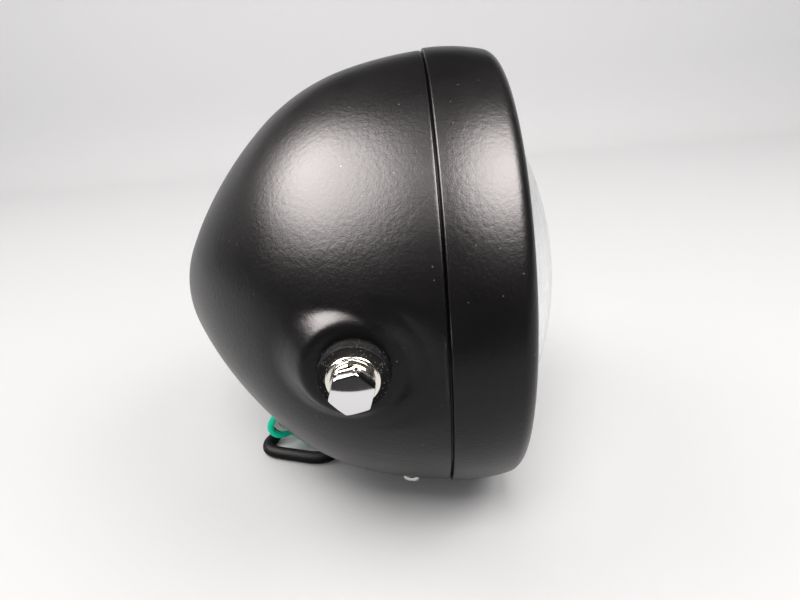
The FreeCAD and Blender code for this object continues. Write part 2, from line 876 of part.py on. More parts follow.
sink_rear_x = housing_back_x - can_length
sink_flange_radius = can_radius + sink_flange_width
fin_radius = can_radius + fin_height
post_end_x = housing_back_x - sink_flange_thick - post_length
cap_screw_circle = can_radius - can_wall / 2
bore_radius = can_radius - can_wall
driver_radius = bore_radius - driver_clear
post_circle = driver_radius - post_inset


def make_heat_sink():
    """Can with radial fins; the fins leave room for the gland underneath."""
    flange_rear = housing_back_x - sink_flange_thick
    body = ring([(housing_back_x, 0), (housing_back_x, sink_flange_radius),
                 (flange_rear, sink_flange_radius), (flange_rear, can_radius), (sink_rear_x, can_radius),
                 (sink_rear_x, bore_radius), (flange_rear, bore_radius), (flange_rear, 0)])
    fin = box(sink_rear_x, flange_rear, -fin_thick / 2, fin_thick / 2, can_radius - can_wall / 2, fin_radius)
    step = 360.0 / fin_count
    angles = [step * (k + 0.5) for k in range(fin_count)]
    fins = [turned(fin, a) for a in angles if abs(a - 180) > fin_gap_angle]
    post = rod(V(flange_rear, 0, post_circle), -axis_x, post_radius, post_length)
    body = body.fuse(fins + around(post, sink_screw_count))
    holes = around(rod(V(housing_back_x + 1, 0, sink_screw_circle), -axis_x, sink_screw_radius + slip_clear,
                       sink_flange_thick + 2), sink_screw_count)
    holes += around(rod(V(post_end_x, 0, post_circle), axis_x, board_screw_radius + slip_clear,
                        board_screw_length), sink_screw_count)
    holes += around(rod(V(sink_rear_x, 0, cap_screw_circle), axis_x, board_screw_radius + slip_clear,
                        cap_screw_length), sink_screw_count)
    holes.append(rod(V(gland_x, cable_offset, 0), -axis_z, gland_neck_radius + slip_clear, 2 * can_radius))
    return body.cut(holes).removeSplitter()


def make_heat_sink_screws():
    """Screws from the flange into the housing's back."""
    start = housing_back_x - sink_flange_thick
    head = rod(V(start, 0, sink_screw_circle), -axis_x, sink_screw_head_radius, sink_screw_head_height)
    shank = rod(V(start, 0, sink_screw_circle), axis_x, sink_screw_radius, sink_screw_length)
    return Part.makeCompound(around(head.fuse(shank), sink_screw_count))


def small_screw(station, circle, length):
    """Small screw driven forwards, with its head behind the station."""
    spot = V(station, 0, circle)
    head = rod(spot, -axis_x, board_screw_head_radius, board_screw_head_height)
    return head.fuse(rod(spot, axis_x, board_screw_radius, length))


def make_driver_board():
    """Round driver board on the posts inside the can."""
    board = rod(V(post_end_x, 0, 0), -axis_x, driver_radius, driver_thick)
    hole = rod(V(post_end_x + 1, 0, post_circle), -axis_x, board_screw_radius + slip_clear, driver_thick + 2)
    return board.cut(around(hole, sink_screw_count))


def make_driver_screws():
    screw = small_screw(post_end_x - driver_thick, post_circle, board_screw_length)
    return Part.makeCompound(around(screw, sink_screw_count))


def make_rear_cap():
    """Cap that closes the can, with a spigot for the seal."""
    spigot = bore_radius - cap_seal_width - slip_clear
    cap = ring([(sink_rear_x - cap_thick, 0), (sink_rear_x - cap_thick, can_radius),
                (sink_rear_x, can_radius), (sink_rear_x, spigot),
                (sink_rear_x + cap_spigot_length, spigot), (sink_rear_x + cap_spigot_length, 0)])
    hole = rod(V(sink_rear_x - cap_thick - 1, 0, cap_screw_circle), axis_x,
               board_screw_radius + slip_clear, cap_thick + 2)
    return cap.cut(around(hole, sink_screw_count))


def make_cap_seal():
    """Square rubber ring round the cap's spigot."""
    return tube_ring(sink_rear_x + slip_clear, sink_rear_x + cap_seal_thick,
                     bore_radius - cap_seal_width, bore_radius - slip_clear)


def make_cap_screws():
    screw = small_screw(sink_rear_x - cap_thick, cap_screw_circle, cap_thick + cap_screw_length - 1)
    return Part.makeCompound(around(screw, sink_screw_count))


def make_vent_plug():
    """Breather on the housing's back."""
    head = rod(V(housing_back_x, 0, vent_circle), -axis_x, vent_radius, vent_height)
    stem = rod(V(housing_back_x, 0, vent_circle), axis_x, vent_radius / 2, housing_wall)
    return turned(head.fuse(stem), vent_angle)


# Lead and plug

floor_z = -max(cr + radius for cx, cr, radius, first, last in rim_spans()[:1])
cable_radius = cable_diameter / 2
wire_radius = wire_diameter / 2


def grommet_line(height, offset):
    """Point on a lead's line through the grommet: height outside the bucket, offset along the bolts' axis."""
    point, normal = grommet_site()
    return point + normal * height + V(0, offset, 0)


def make_cable_grommet(bucket):
    """Rubber grommet that grips the bucket's wall, with a hole for each lead."""
    point, normal = grommet_site()
    outer = Part.makeCylinder(grommet_radius, grommet_outer_height + grommet_tuck, V(0, 0, -grommet_tuck))
    top_edges = [e for e in outer.Edges if e.CenterOfMass.z > grommet_outer_height - 0.01]
    outer = outer.makeFillet(grommet_outer_height / 2, top_edges)
    inner = Part.makeCylinder(grommet_inner_radius, grommet_depth - grommet_tuck, V(0, 0, -grommet_depth))
    grommet = place_along(outer.fuse(inner), point, normal).cut(bucket)
    holes = []
    for offset, radius in ((cable_offset, cable_radius), (green_offset, wire_radius),
                           (white_offset, wire_radius)):
        start = grommet_line(-2 * grommet_depth, offset)
        holes.append(rod(start, normal, radius + slip_clear, 4 * grommet_depth))
    return grommet.cut(holes)


def make_cable_gland():
    """Gland under the heat sink's can."""
    start = can_radius + slip_clear
    body = hex_prism(gland_across, gland_length)
    body = place_along(body, V(gland_x, cable_offset, -start), -axis_z)
    neck = rod(V(gland_x, cable_offset, -start), axis_z, gland_neck_radius, can_wall)
    bore = rod(V(gland_x, cable_offset, 0), -axis_z, cable_radius + slip_clear, 2 * can_radius)
    return body.fuse(neck).cut(bore)


def make_inner_lead():
    """The lead inside the bucket, from the gland to the grommet."""
    point, normal = grommet_site()
    end = grommet_line(-grommet_depth, cable_offset)
    corner = end - normal * ((end.x - gland_x) / normal.x)
    start = V(gland_x, cable_offset, -(can_radius - can_wall))
    return cord_tube([start, corner, end], cable_diameter, lead_bend)


# Hand laid routes outside the bucket: the first two points lie on the grommet's line, the others are
# given by their place and their height above the floor
cable_lie = cable_radius + slip_clear
wire_lie = sleeve_radius + slip_clear
plug_lie = relief_radius


def laid(x, y, height):
    """Point of a route above the floor that the lamp stands on."""
    return V(x, y, floor_z + height)


cable_route = [
    grommet_line(-grommet_depth, cable_offset),
    grommet_line(cable_straight, cable_offset),
    laid(-51.0, 2.9, 20.1),
    laid(-55.0, 2.4, 14.6),
    laid(-58.4, 0.5, 8.8),
    laid(-58.2, -2.1, 5.2),
    laid(-55.6, -5.1, cable_lie),
    laid(-49.8, -8.2, cable_lie),
    laid(-43.0, -10.8, cable_lie),
    laid(-36.0, -13.4, cable_lie),
    laid(-29.2, -15.2, cable_lie),
    laid(-22.4, -13.4, cable_lie),
    laid(-17.4, -8.6, cable_lie),
    laid(-15.0, -2.0, cable_lie),
    laid(-14.8, 6.6, cable_lie),
    laid(-16.4, 16.0, cable_lie),
    laid(-19.2, 25.5, cable_lie),
    laid(-21.3, 35.2, cable_lie),
    laid(-21.2, 45.2, cable_lie),
    laid(-18.0, 54.8, cable_lie),
    laid(-11.4, 62.8, cable_lie),
    laid(-2.2, 67.8, cable_lie + cable_rise),
    laid(8.2, 69.8, plug_lie),
    laid(18.2, 69.8, plug_lie),
]
green_route = [
    grommet_line(-grommet_depth, green_offset),
    grommet_line(green_straight, green_offset),
    laid(-50.2, -5.1, 23.2),
    laid(-53.4, -5.2, 17.8),
    laid(-53.2, -5.4, 13.0),
    laid(-49.6, -5.0, 9.0),
    laid(-44.8, -2.8, 5.2),
    laid(-39.6, 0.6, wire_lie),
    laid(-34.6, 3.8, wire_lie),
]
white_route = [
    grommet_line(-grommet_depth, white_offset),
    grommet_line(white_straight, white_offset),
    laid(-48.6, -2.0, 24.0),
    laid(-51.0, -2.4, 19.2),
    laid(-50.4, -2.2, 14.6),
    laid(-47.2, -0.6, 10.0),
    laid(-43.0, 3.0, 6.0),
    laid(-38.8, 8.4, wire_lie),
    laid(-35.0, 13.6, wire_lie),
]


def last_run(route):
    """End of a route and the direction that it arrives in."""
    ahead = route[-1] - route[-2]
    ahead.normalize()
    return route[-1], ahead


def wire_ends(shape_of):
    """One piece on the end of each thin wire."""
    return Part.makeCompound([shape_of(*last_run(route)) for route in (green_route, white_route)])


def make_bullet_sleeves():
    """Insulating sleeves where the wires enter their terminals."""
    return wire_ends(lambda end, ahead: rod(end, ahead, sleeve_radius, sleeve_length))


def make_bullet_terminals():
    """Bullet shaped terminals in front of the sleeves."""
    def bullet(end, ahead):
        start = end + ahead * sleeve_length
        pin = rod(start, ahead, terminal_radius, terminal_length - terminal_radius)
        tip = Part.makeSphere(terminal_radius, start + ahead * (terminal_length - terminal_radius))
        return pin.fuse(tip).removeSplitter()
    return wire_ends(bullet)


def make_plug_body():
    """Plug with a strain relief, flat on the floor."""
    end, ahead = last_run(cable_route)
    relief = rod(end, ahead, relief_radius, relief_length)
    back = end.x + relief_length
    block = box(back, back + plug_length, end.y - plug_width / 2, end.y + plug_width / 2,
                floor_z, floor_z + plug_height)
    block = block.makeFillet(plug_round, block.Edges)
    return block.fuse(relief).removeSplitter()


def make_plug_blades():
    """Three flat blades: two upright and one across the top."""
    end, ahead = last_run(cable_route)
    face = end.x + relief_length + plug_length
    middle = floor_z + plug_height / 2
    half = blade_width / 2
    upright = [box(face, face + blade_length, y - blade_thick / 2, y + blade_thick / 2, middle - half,
                   middle + half) for y in (end.y - blade_spread, end.y + blade_spread)]
    across = box(face, face + blade_length, end.y - half, end.y + half,
                 middle + half - blade_thick, middle + half)
    return Part.makeCompound(upright + [across])


# Build and write every piece

bucket = make_bucket()
pieces = {
    "bucket": bucket,
    "rim": make_rim(),
    "rim_screws": make_rim_screws(),
    "rim_clip_nuts": make_rim_clip_nuts(),
    "side_bolts": make_side_bolts(),
    "split_washers": make_split_washers(),
    "flat_washers": make_flat_washers(),
    "rubber_bushes": make_rubber_bushes(),
    "weld_nuts": make_weld_nuts(),
    "lens": make_lens(),
    "lens_gasket": make_lens_gasket(),
    "lens_seal": make_lens_seal(),
    "unit_housing": make_unit_housing(),
    "retaining_clips": make_retaining_clips(),
    "reflector": make_reflector(),
    "position_board": make_position_board(),
    "position_leds": make_position_leds(),
    "light_guide": make_light_guide(),
    "trim_bezel": make_trim_bezel(),
    "bridge": make_bridge(),
    "bridge_cover": make_bridge_cover(),
    "low_beam_board": above_and_below(beam_board())[0],
    "high_beam_board": above_and_below(beam_board())[1],
    "low_beam_leds": Part.makeCompound(beam_leds()),
    "high_beam_leds": Part.makeCompound([above_and_below(led)[1] for led in beam_leds()]),
    "board_screws": make_board_screws(),
    "heat_sink": make_heat_sink(),
    "heat_sink_screws": make_heat_sink_screws(),
    "driver_board": make_driver_board(),
    "driver_screws": make_driver_screws(),
    "rear_cap": make_rear_cap(),
    "cap_seal": make_cap_seal(),
    "cap_screws": make_cap_screws(),
    "vent_plug": make_vent_plug(),
    "cable_gland": make_cable_gland(),
    "inner_lead": make_inner_lead(),
    "cable_grommet": make_cable_grommet(bucket),
    "cable": cord_tube(cable_route, cable_diameter),
    "green_wire": cord_tube(green_route, wire_diameter),
    "white_wire": cord_tube(white_route, wire_diameter),
    "bullet_sleeves": make_bullet_sleeves(),
    "bullet_terminals": make_bullet_terminals(),
    "plug_body": make_plug_body(),
    "plug_blades": make_plug_blades(),
}

os.makedirs("parts", exist_ok=True)
for name, shape in pieces.items():
    shape.exportStep(os.path.join("parts", name + ".step"))
    print(name, len(shape.Solids), "solids", round(shape.Volume), "mm3", "valid", shape.isValid())
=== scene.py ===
import bmesh
import bpy
import numpy as np
from mathutils import Matrix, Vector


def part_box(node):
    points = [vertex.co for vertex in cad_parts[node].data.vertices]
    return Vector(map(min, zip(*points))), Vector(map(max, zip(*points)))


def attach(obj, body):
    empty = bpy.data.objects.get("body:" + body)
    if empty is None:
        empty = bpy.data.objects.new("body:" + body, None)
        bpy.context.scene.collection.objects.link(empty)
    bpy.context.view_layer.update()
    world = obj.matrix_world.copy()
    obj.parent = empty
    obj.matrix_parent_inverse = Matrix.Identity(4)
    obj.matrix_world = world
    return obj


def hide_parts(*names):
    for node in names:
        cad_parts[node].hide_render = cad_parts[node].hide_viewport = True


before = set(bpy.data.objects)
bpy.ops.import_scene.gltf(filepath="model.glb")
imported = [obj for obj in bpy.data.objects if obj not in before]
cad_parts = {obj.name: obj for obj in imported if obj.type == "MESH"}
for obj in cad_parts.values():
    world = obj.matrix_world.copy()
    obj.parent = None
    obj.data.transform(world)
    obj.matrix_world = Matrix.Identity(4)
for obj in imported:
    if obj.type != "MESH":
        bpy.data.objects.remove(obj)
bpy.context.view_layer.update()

# Side mounted LED headlight: satin black bullet bucket, rolled rim, clear dome, chrome side bolts.
# Shapes are worked out in millimetres in the lamp's own frame and written to the meshes in metres.
mm = 0.001
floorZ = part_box("rim")[0].z / mm  # the rim is what touches the table
print("frame loaded:", len(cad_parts), "nodes, floor at", round(floorZ, 2), "mm")


# General surfaces: every shape is a grid of points, rows along a profile and columns around or along it

def gridFaces(rows, cols, wrapRows=False, wrapCols=False):  # a quad between each four neighbouring points
    r, c = np.meshgrid(np.arange(rows if wrapRows else rows - 1),
                       np.arange(cols if wrapCols else cols - 1), indexing="ij")
    nextRow = (r + 1) % rows
    nextCol = (c + 1) % cols
    quads = [r * cols + c, nextRow * cols + c, nextRow * cols + nextCol, r * cols + nextCol]
    return np.stack(quads, -1).reshape(-1, 4)


def arcPoints(span, count, inset=0.0):  # points of a section arc, whose tangent turns from first to last
    cx, cr, radius, first, last = span
    a = np.radians(np.linspace(first, last, count))
    return np.stack([cx - (radius - inset) * np.sin(a), cr + (radius - inset) * np.cos(a)], 1)


def arcChain(x, r, angle, arcs):  # tangent arcs in a row: centre, radius, first and last tangent angle
    spans = []
    for radius, turn in arcs:
        a = np.radians(angle)
        cx = x + radius * np.sin(a)
        cr = r - radius * np.cos(a)
        spans.append((cx, cr, radius, angle, angle + turn))
        angle += turn
        a = np.radians(angle)
        x = cx - radius * np.sin(a)
        r = cr + radius * np.cos(a)
    return spans


def chainPoints(spans, steps, inset=0.0):  # the arcs' points in a row, with each joint written once
    runs = [arcPoints(span, count, inset) for span, count in zip(spans, steps)]
    return np.concatenate([runs[0]] + [run[1:] for run in runs[1:]])


def fullTurn(count):  # even angles all the way round
    return np.linspace(0, 2 * np.pi, count, endpoint=False)


def turnX(profile, angles):  # (x, radius) turned about the lamp's axis, angle 0 upwards
    x, r = np.asarray(profile, float).T
    verts = [x[:, None] + 0 * angles, r[:, None] * np.sin(angles), r[:, None] * np.cos(angles)]
    return np.stack(verts, -1).reshape(-1, 3)


def lathe(profile, count=180, loop=True):  # closed section, or a line from pole to pole
    return turnX(profile, fullTurn(count)), gridFaces(len(profile), count, loop, True)


def sector(profile, first, last, count):  # part of a turn about the lamp's axis, with flat ends
    angles = np.radians(np.linspace(first, last, count))
    rows = len(profile)
    faces = gridFaces(rows, count, True, False).tolist()
    faces.append([k * count for k in range(rows)])
    faces.append([k * count + count - 1 for k in range(rows)][::-1])
    return turnX(profile, angles), faces


forward, outward, upward = np.eye(3)  # the lamp's axis, the side bolts' axis, and up


def toFrame(part, origin, ahead, up):  # local x to ahead, local z to up
    verts, faces = part
    ahead = np.asarray(ahead, float) / np.linalg.norm(ahead)
    side = np.cross(up, ahead)
    side = side / np.linalg.norm(side)
    axes = np.stack([ahead, side, np.cross(ahead, side)])
    return np.asarray(origin, float) + verts @ axes, faces


def mirrored(parts):  # the same pieces on both sides of the lamp
    flip = np.array([1.0, -1.0, 1.0])
    return parts + [(verts * flip, faces) for verts, faces in parts]


def roundedSection(corners, radii, steps=5):  # closed polygon with each corner eased by its own radius
    out = []
    share = 0.45  # most of an edge that one corner may take
    corners = np.asarray(corners, float)
    for k, radius in enumerate(radii):
        here = corners[k]
        back = corners[k - 1] - here
        ahead = corners[(k + 1) % len(corners)] - here
        reach = min(radius, share * np.linalg.norm(back), share * np.linalg.norm(ahead))
        a = here + back / np.linalg.norm(back) * reach
        b = here + ahead / np.linalg.norm(ahead) * reach
        t = np.linspace(0, 1, steps)[:, None] if radius > 0 else np.zeros((1, 1))
        out.append((1 - t) ** 2 * a + 2 * t * (1 - t) * here + t ** 2 * b)
    return np.concatenate(out)


def aimed(azimuth, elevation):  # right, up and back of something that faces the lamp from there
    az, el = np.radians([azimuth, elevation])
    back = np.array([np.sin(az) * np.cos(el), -np.cos(az) * np.cos(el), np.sin(el)])
    right = np.array([np.cos(az), np.sin(az), 0.0])
    return right, np.cross(back, right), back


def placed(place, right, up, back):  # world matrix from a place in metres and three axes
    axes = np.stack([right, up, back], 1)
    return Matrix.Translation(np.asarray(place).tolist()) @ Matrix(axes.tolist()).to_4x4()


def addPiece(name, data, material, nodes):  # stands in for the solids that it names
    data.materials.append(material)
    piece = bpy.data.objects.new(name, data)
    bpy.context.scene.collection.objects.link(piece)
    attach(piece, "root")
    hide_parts(*nodes)
    return piece


def makePiece(name, parts, material, nodes, sharp=38.0, weld=2e-6):  # surfaces joined in one mesh
    faces = []
    count = 0
    for verts, quads in parts:
        faces += [[i + count for i in face] for face in np.asarray(quads, object).tolist()]
        count += len(verts)
    mesh = bpy.data.meshes.new(name)
    mesh.from_pydata((np.concatenate([verts for verts, quads in parts]) * mm).tolist(), [], faces)
    work = bmesh.new()
    work.from_mesh(mesh)
    bmesh.ops.remove_doubles(work, verts=work.verts, dist=weld)
    bmesh.ops.recalc_face_normals(work, faces=work.faces)
    work.to_mesh(mesh)
    work.free()
    mesh.polygons.foreach_set("use_smooth", np.ones(len(mesh.polygons), bool))
    mesh.set_sharp_from_angle(angle=np.radians(sharp))
    return addPiece(name, mesh, material, nodes)


# Shader groups that several finishes share

def newGroup(name, inputs, outputs):  # plain values in and out
    group = bpy.data.node_groups.new(name, "ShaderNodeTree")
    for label, value in inputs.items():
        socket = group.interface.new_socket(label, in_out="INPUT", socket_type="NodeSocketFloat")
        socket.default_value = value
    for label in outputs:
        group.interface.new_socket(label, in_out="OUTPUT", socket_type="NodeSocketFloat")
    return group, group.nodes.new("NodeGroupInput"), group.nodes.new("NodeGroupOutput")


def addNode(tree, kind, settings=None, **values):  # an underscore stands for the space in a socket's name
    node = tree.nodes.new("ShaderNode" + kind)
    for key, value in (settings or {}).items():
        setattr(node, key, value)
    for key, value in values.items():
        node.inputs[key.replace("_", " ")].default_value = value
    return node


def addMath(tree, operation, a, b):  # of two sockets
    node = addNode(tree, "Math", {"operation": operation})
    tree.links.new(a, node.inputs[0])
    tree.links.new(b, node.inputs[1])
    return node.outputs[0]


def addMix(tree, first, second, factor, target):  # two colours blended by a mask, into a colour socket
    mix = addNode(tree, "Mix", {"data_type": "RGBA"})
    mix.inputs[6].default_value = (*first, 1.0)  # inputs 6 and 7 and output 2 are the node's colours
    mix.inputs[7].default_value = (*second, 1.0)
    tree.links.new(factor, mix.inputs["Factor"])
    tree.links.new(mix.outputs[2], target)


def makeGrainGroup():  # paint's orange peel or a mould's grain: a coarse roll with a fine tooth on it
    group, enter, leave = newGroup("surfaceGrain", {"Coarse": 700.0, "Fine": 2600.0, "Tooth": 0.4},
                                   ("Height", "Patch"))
    where = addNode(group, "TexCoord").outputs["Object"]
    heights = []
    for label, detail in (("Coarse", 1.0), ("Fine", 2.0)):
        noise = addNode(group, "TexNoise", Detail=detail, Roughness=0.5)
        group.links.new(where, noise.inputs["Vector"])
        group.links.new(enter.outputs[label], noise.inputs["Scale"])
        heights.append(noise.outputs["Fac"])
    fine = addMath(group, "MULTIPLY", heights[1], enter.outputs["Tooth"])
    group.links.new(addMath(group, "ADD", heights[0], fine), leave.inputs["Height"])
    patch = addNode(group, "TexNoise", Scale=38.0, Detail=3.0, Roughness=0.6)
    group.links.new(where, patch.inputs["Vector"])
    group.links.new(patch.outputs["Fac"], leave.inputs["Patch"])
    return group


def makeDustGroup():  # sparse pale specks of lint
    group, enter, leave = newGroup("dustSpecks", {"Scale": 160.0, "Amount": 0.1, "Size": 0.055}, ("Mask",))
    where = addNode(group, "TexCoord").outputs["Object"]
    cells = addNode(group, "TexVoronoi", {"feature": "F1"})
    group.links.new(where, cells.inputs["Vector"])
    group.links.new(enter.outputs["Scale"], cells.inputs["Scale"])
    near = addMath(group, "LESS_THAN", cells.outputs["Distance"], enter.outputs["Size"])
    split = addNode(group, "SeparateColor")
    group.links.new(cells.outputs["Color"], split.inputs[0])
    chosen = addMath(group, "LESS_THAN", split.outputs[0], enter.outputs["Amount"])
    group.links.new(addMath(group, "MULTIPLY", near, chosen), leave.inputs["Mask"])
    return group


grainGroup = makeGrainGroup()
dustGroup = makeDustGroup()


def addGroup(tree, group, **values):
    node = tree.nodes.new("ShaderNodeGroup")
    node.node_tree = group
    for key, value in values.items():
        node.inputs[key].default_value = value
    return node


def newMaterial(name, color, roughness, metallic=0.0, **sockets):
    material = bpy.data.materials.new(name)
    material.use_nodes = True
    shader = material.node_tree.nodes["Principled BSDF"]
    shader.inputs["Base Color"].default_value = (*color, 1.0)
    shader.inputs["Roughness"].default_value = roughness
    shader.inputs["Metallic"].default_value = metallic
    for label, value in sockets.items():
        shader.inputs[label.replace("_", " ")].default_value = value
    return material, material.node_tree, shader


patchSpan = (0.3, 0.7)  # where most of the patch noise lies


def addGrain(tree, shader, depth, strength, roughSpan=None, **values):  # bump, and a patchy gloss
    grain = addGroup(tree, grainGroup, **values)
    bump = addNode(tree, "Bump", Strength=strength, Distance=depth)
    tree.links.new(grain.outputs["Height"], bump.inputs["Height"])
    tree.links.new(bump.outputs["Normal"], shader.inputs["Normal"])
    if roughSpan:
        spread = addNode(tree, "MapRange", From_Min=patchSpan[0], From_Max=patchSpan[1],
                         To_Min=roughSpan[0], To_Max=roughSpan[1])
        tree.links.new(grain.outputs["Patch"], spread.inputs["Value"])
        tree.links.new(spread.outputs["Result"], shader.inputs["Roughness"])


def addSpecks(tree, shader, color, speck, **values):  # dust over the base colour
    dust = addGroup(tree, dustGroup, **values)
    addMix(tree, color, speck, dust.outputs["Mask"], shader.inputs["Base Color"])


# Finishes

paint = {"color": (0.0042, 0.0040, 0.0040), "specular": 0.20, "gloss": (0.27, 0.33), "peelDepth": 0.00012,
         "peelStrength": 0.55, "coarse": 620.0, "fine": 2300.0, "tooth": 0.60, "speck": (0.12, 0.12, 0.115),
         "speckAmount": 0.22, "speckScale": 300.0, "speckSize": 0.08}
metalGrain = {"strength": 0.5, "tooth": 0.5}
mouldGrain = {"strength": 0.6, "tooth": 0.5, "lint": (0.085, 0.085, 0.08), "lintScale": 1500.0,
              "lintSize": 0.30}
clearGrain = {"gloss": 0.02, "strength": 0.25, "coarse": 55.0, "fine": 240.0, "tooth": 0.15}


def makePaint():  # black coat with a soft peel, a patchy satin gloss and specks of dust
    material, tree, shader = newMaterial("satinBlackPaint", paint["color"], paint["gloss"][0],
                                         Specular_IOR_Level=paint["specular"])
    addGrain(tree, shader, paint["peelDepth"], paint["peelStrength"], paint["gloss"], Coarse=paint["coarse"],
             Fine=paint["fine"], Tooth=paint["tooth"])
    addSpecks(tree, shader, paint["color"], paint["speck"], Scale=paint["speckScale"],
              Amount=paint["speckAmount"], Size=paint["speckSize"])
    return material


def makeMetal(name, color, gloss, depth, coarse, fine):  # plated or bare, its gloss a little patchy
    material, tree, shader = newMaterial(name, color, gloss[0], 1.0)
    addGrain(tree, shader, depth, metalGrain["strength"], gloss, Coarse=coarse, Fine=fine,
             Tooth=metalGrain["tooth"])
    return material


# rubber or plastic with a mould's grain, and lint on it where some is asked for
def makeMoulded(name, color, gloss, depth, coarse=900.0, fine=3200.0, dust=0.0, **sockets):
    material, tree, shader = newMaterial(name, color, gloss[0], **sockets)
    addGrain(tree, shader, depth, mouldGrain["strength"], gloss, Coarse=coarse, Fine=fine,
             Tooth=mouldGrain["tooth"])
    if dust:
        addSpecks(tree, shader, color, mouldGrain["lint"], Scale=mouldGrain["lintScale"], Amount=dust,
                  Size=mouldGrain["lintSize"])
    return material


def makeClear(name, color, ior, ripple):  # clear plastic with a faint ripple
    material, tree, shader = newMaterial(name, color, clearGrain["gloss"], Transmission_Weight=1.0, IOR=ior)
    addGrain(tree, shader, ripple, clearGrain["strength"], Coarse=clearGrain["coarse"],
             Fine=clearGrain["fine"], Tooth=clearGrain["tooth"])
    return material


finish = {
    "paint": makePaint(),
    "chrome": makeMetal("brightChrome", (0.70, 0.70, 0.71), (0.05, 0.10), 0.000004, 260.0, 1400.0),
    "warmChrome": makeMetal("warmChrome", (0.74, 0.72, 0.66), (0.08, 0.15), 0.000005, 320.0, 1600.0),
    "zinc": makeMetal("zincPlate", (0.62, 0.62, 0.60), (0.22, 0.34), 0.00002, 900.0, 4200.0),
    "spring": makeMetal("springSteel", (0.30, 0.30, 0.31), (0.28, 0.40), 0.00002, 700.0, 3600.0),
    "rubber": makeMoulded("blackRubber", (0.006, 0.006, 0.006), (0.42, 0.55), 0.00014, 1100.0, 3600.0, 0.40,
                          Specular_IOR_Level=0.05),
    "lens": makeClear("clearLens", (0.97, 0.985, 0.99), 1.49, 0.00002),
    "guide": makeClear("clearGuide", (0.96, 0.97, 0.98), 1.49, 0.00001),
    "housing": makeMoulded("housingPlastic", (0.016, 0.016, 0.017), (0.42, 0.55), 0.00007,
                           Specular_IOR_Level=0.20),
    "mirror": makeMetal("mirrorCoat", (0.86, 0.86, 0.88), (0.03, 0.07), 0.000004, 120.0, 900.0),
    "board": makeMoulded("whiteBoard", (0.74, 0.75, 0.73), (0.35, 0.5), 0.00002, Specular_IOR_Level=0.20),
    "driver": makeMoulded("greenBoard", (0.02, 0.11, 0.045), (0.3, 0.45), 0.00003, Specular_IOR_Level=0.20),
    "phosphor": makeMoulded("diodePhosphor", (0.80, 0.60, 0.10), (0.25, 0.4), 0.00002,
                            Specular_IOR_Level=0.20),
    "cast": makeMetal("castAluminium", (0.60, 0.61, 0.62), (0.34, 0.48), 0.00006, 1200.0, 4200.0),
    "moulded": makeMoulded("mouldedBlack", (0.014, 0.014, 0.014), (0.40, 0.54), 0.00008,
                           Specular_IOR_Level=0.15),
    "sheath": makeMoulded("cableSheath", (0.004, 0.004, 0.0042), (0.46, 0.60), 0.00006, 420.0, 2200.0, 0.04,
                          Specular_IOR_Level=0.07),
    "green": makeMoulded("greenSheath", (0.010, 0.72, 0.45), (0.30, 0.42), 0.00002, 380.0, 2200.0,
                         Specular_IOR_Level=0.12),
    "white": makeMoulded("whiteSheath", (0.78, 0.78, 0.76), (0.30, 0.42), 0.00002, 380.0, 2200.0,
                         Specular_IOR_Level=0.12),
    "sleeve": makeClear("clearSleeve", (0.90, 0.92, 0.90), 1.45, 0.00003),
    "brass": makeMetal("plainBrass", (0.70, 0.52, 0.22), (0.18, 0.30), 0.00002, 800.0, 3200.0),
}
print("finishes:", len(finish))


# Camera, at the photograph's viewing angle

camera = {"lens": 27.0, "sensor": 36.0, "clip": (0.01, 20.0), "place": (0.019355, -0.252087, 0.096684),
          "azimuth": 1.0280, "elevation": 23.7751, "roll": 4.5442}


def makeCamera():  # aimed from its angles, then rolled about its own line of sight
    right, up, back = aimed(camera["azimuth"], camera["elevation"])
    roll = np.radians(camera["roll"])
    turnedRight = np.cos(roll) * right - np.sin(roll) * up
    turnedUp = np.cos(roll) * up + np.sin(roll) * right
    data = bpy.data.cameras.new("camera")
    data.lens = camera["lens"]
    data.sensor_width = camera["sensor"]
    data.clip_start, data.clip_end = camera["clip"]
    view = bpy.data.objects.new("camera", data)
    bpy.context.scene.collection.objects.link(view)
    view.matrix_world = placed(camera["place"], turnedRight, turnedUp, back)
    bpy.context.scene.camera = view


makeCamera()


# Leads: routes in metres, laid from the grommet to what is on their ends

cableLead = {"diameter": 0.0060, "length": 0.189, "route": [
    (-0.03979, 0.0032, -0.05692), (-0.04694, 0.0032, -0.06392), (-0.0504, 0.0046, -0.07050),
    (-0.0514, 0.0066, -0.07800), (-0.0526, 0.0074, -0.08520), (-0.0552, 0.0042, -0.08854),
    (-0.0576, -0.0006, -0.08854), (-0.0566, -0.0058, -0.08854), (-0.0508, -0.0088, -0.08854),
    (-0.0450, -0.0106, -0.08854), (-0.0390, -0.0126, -0.08854), (-0.0325, -0.0146, -0.08854),
    (-0.0265, -0.0144, -0.08854), (-0.0218, -0.0106, -0.08854), (-0.0190, -0.0050, -0.08854),
    (-0.0178, 0.0015, -0.08854), (-0.0172, 0.0080, -0.08854), (-0.0174, 0.0165, -0.08854),
    (-0.0186, 0.0255, -0.08854), (-0.0194, 0.0350, -0.08854), (-0.0188, 0.0448, -0.08854),
    (-0.0160, 0.0540, -0.08854), (-0.0104, 0.0620, -0.08854),
    (-0.0022, 0.0678, -0.08814), (0.0082, 0.0698, -0.08719), (0.0182, 0.0698, -0.08719)]}
greenLead = {"diameter": 0.0032, "length": 0.051, "route": [
    (-0.03979, -0.0051, -0.05692), (-0.04622, -0.0051, -0.06322), (-0.0500, -0.0051, -0.06860),
    (-0.0542, -0.0052, -0.07460), (-0.0534, -0.0052, -0.07920), (-0.0496, -0.0036, -0.08230),
    (-0.0450, 0.0024, -0.08360), (-0.0396, 0.0006, -0.08924), (-0.0346, 0.0038, -0.08924)]}
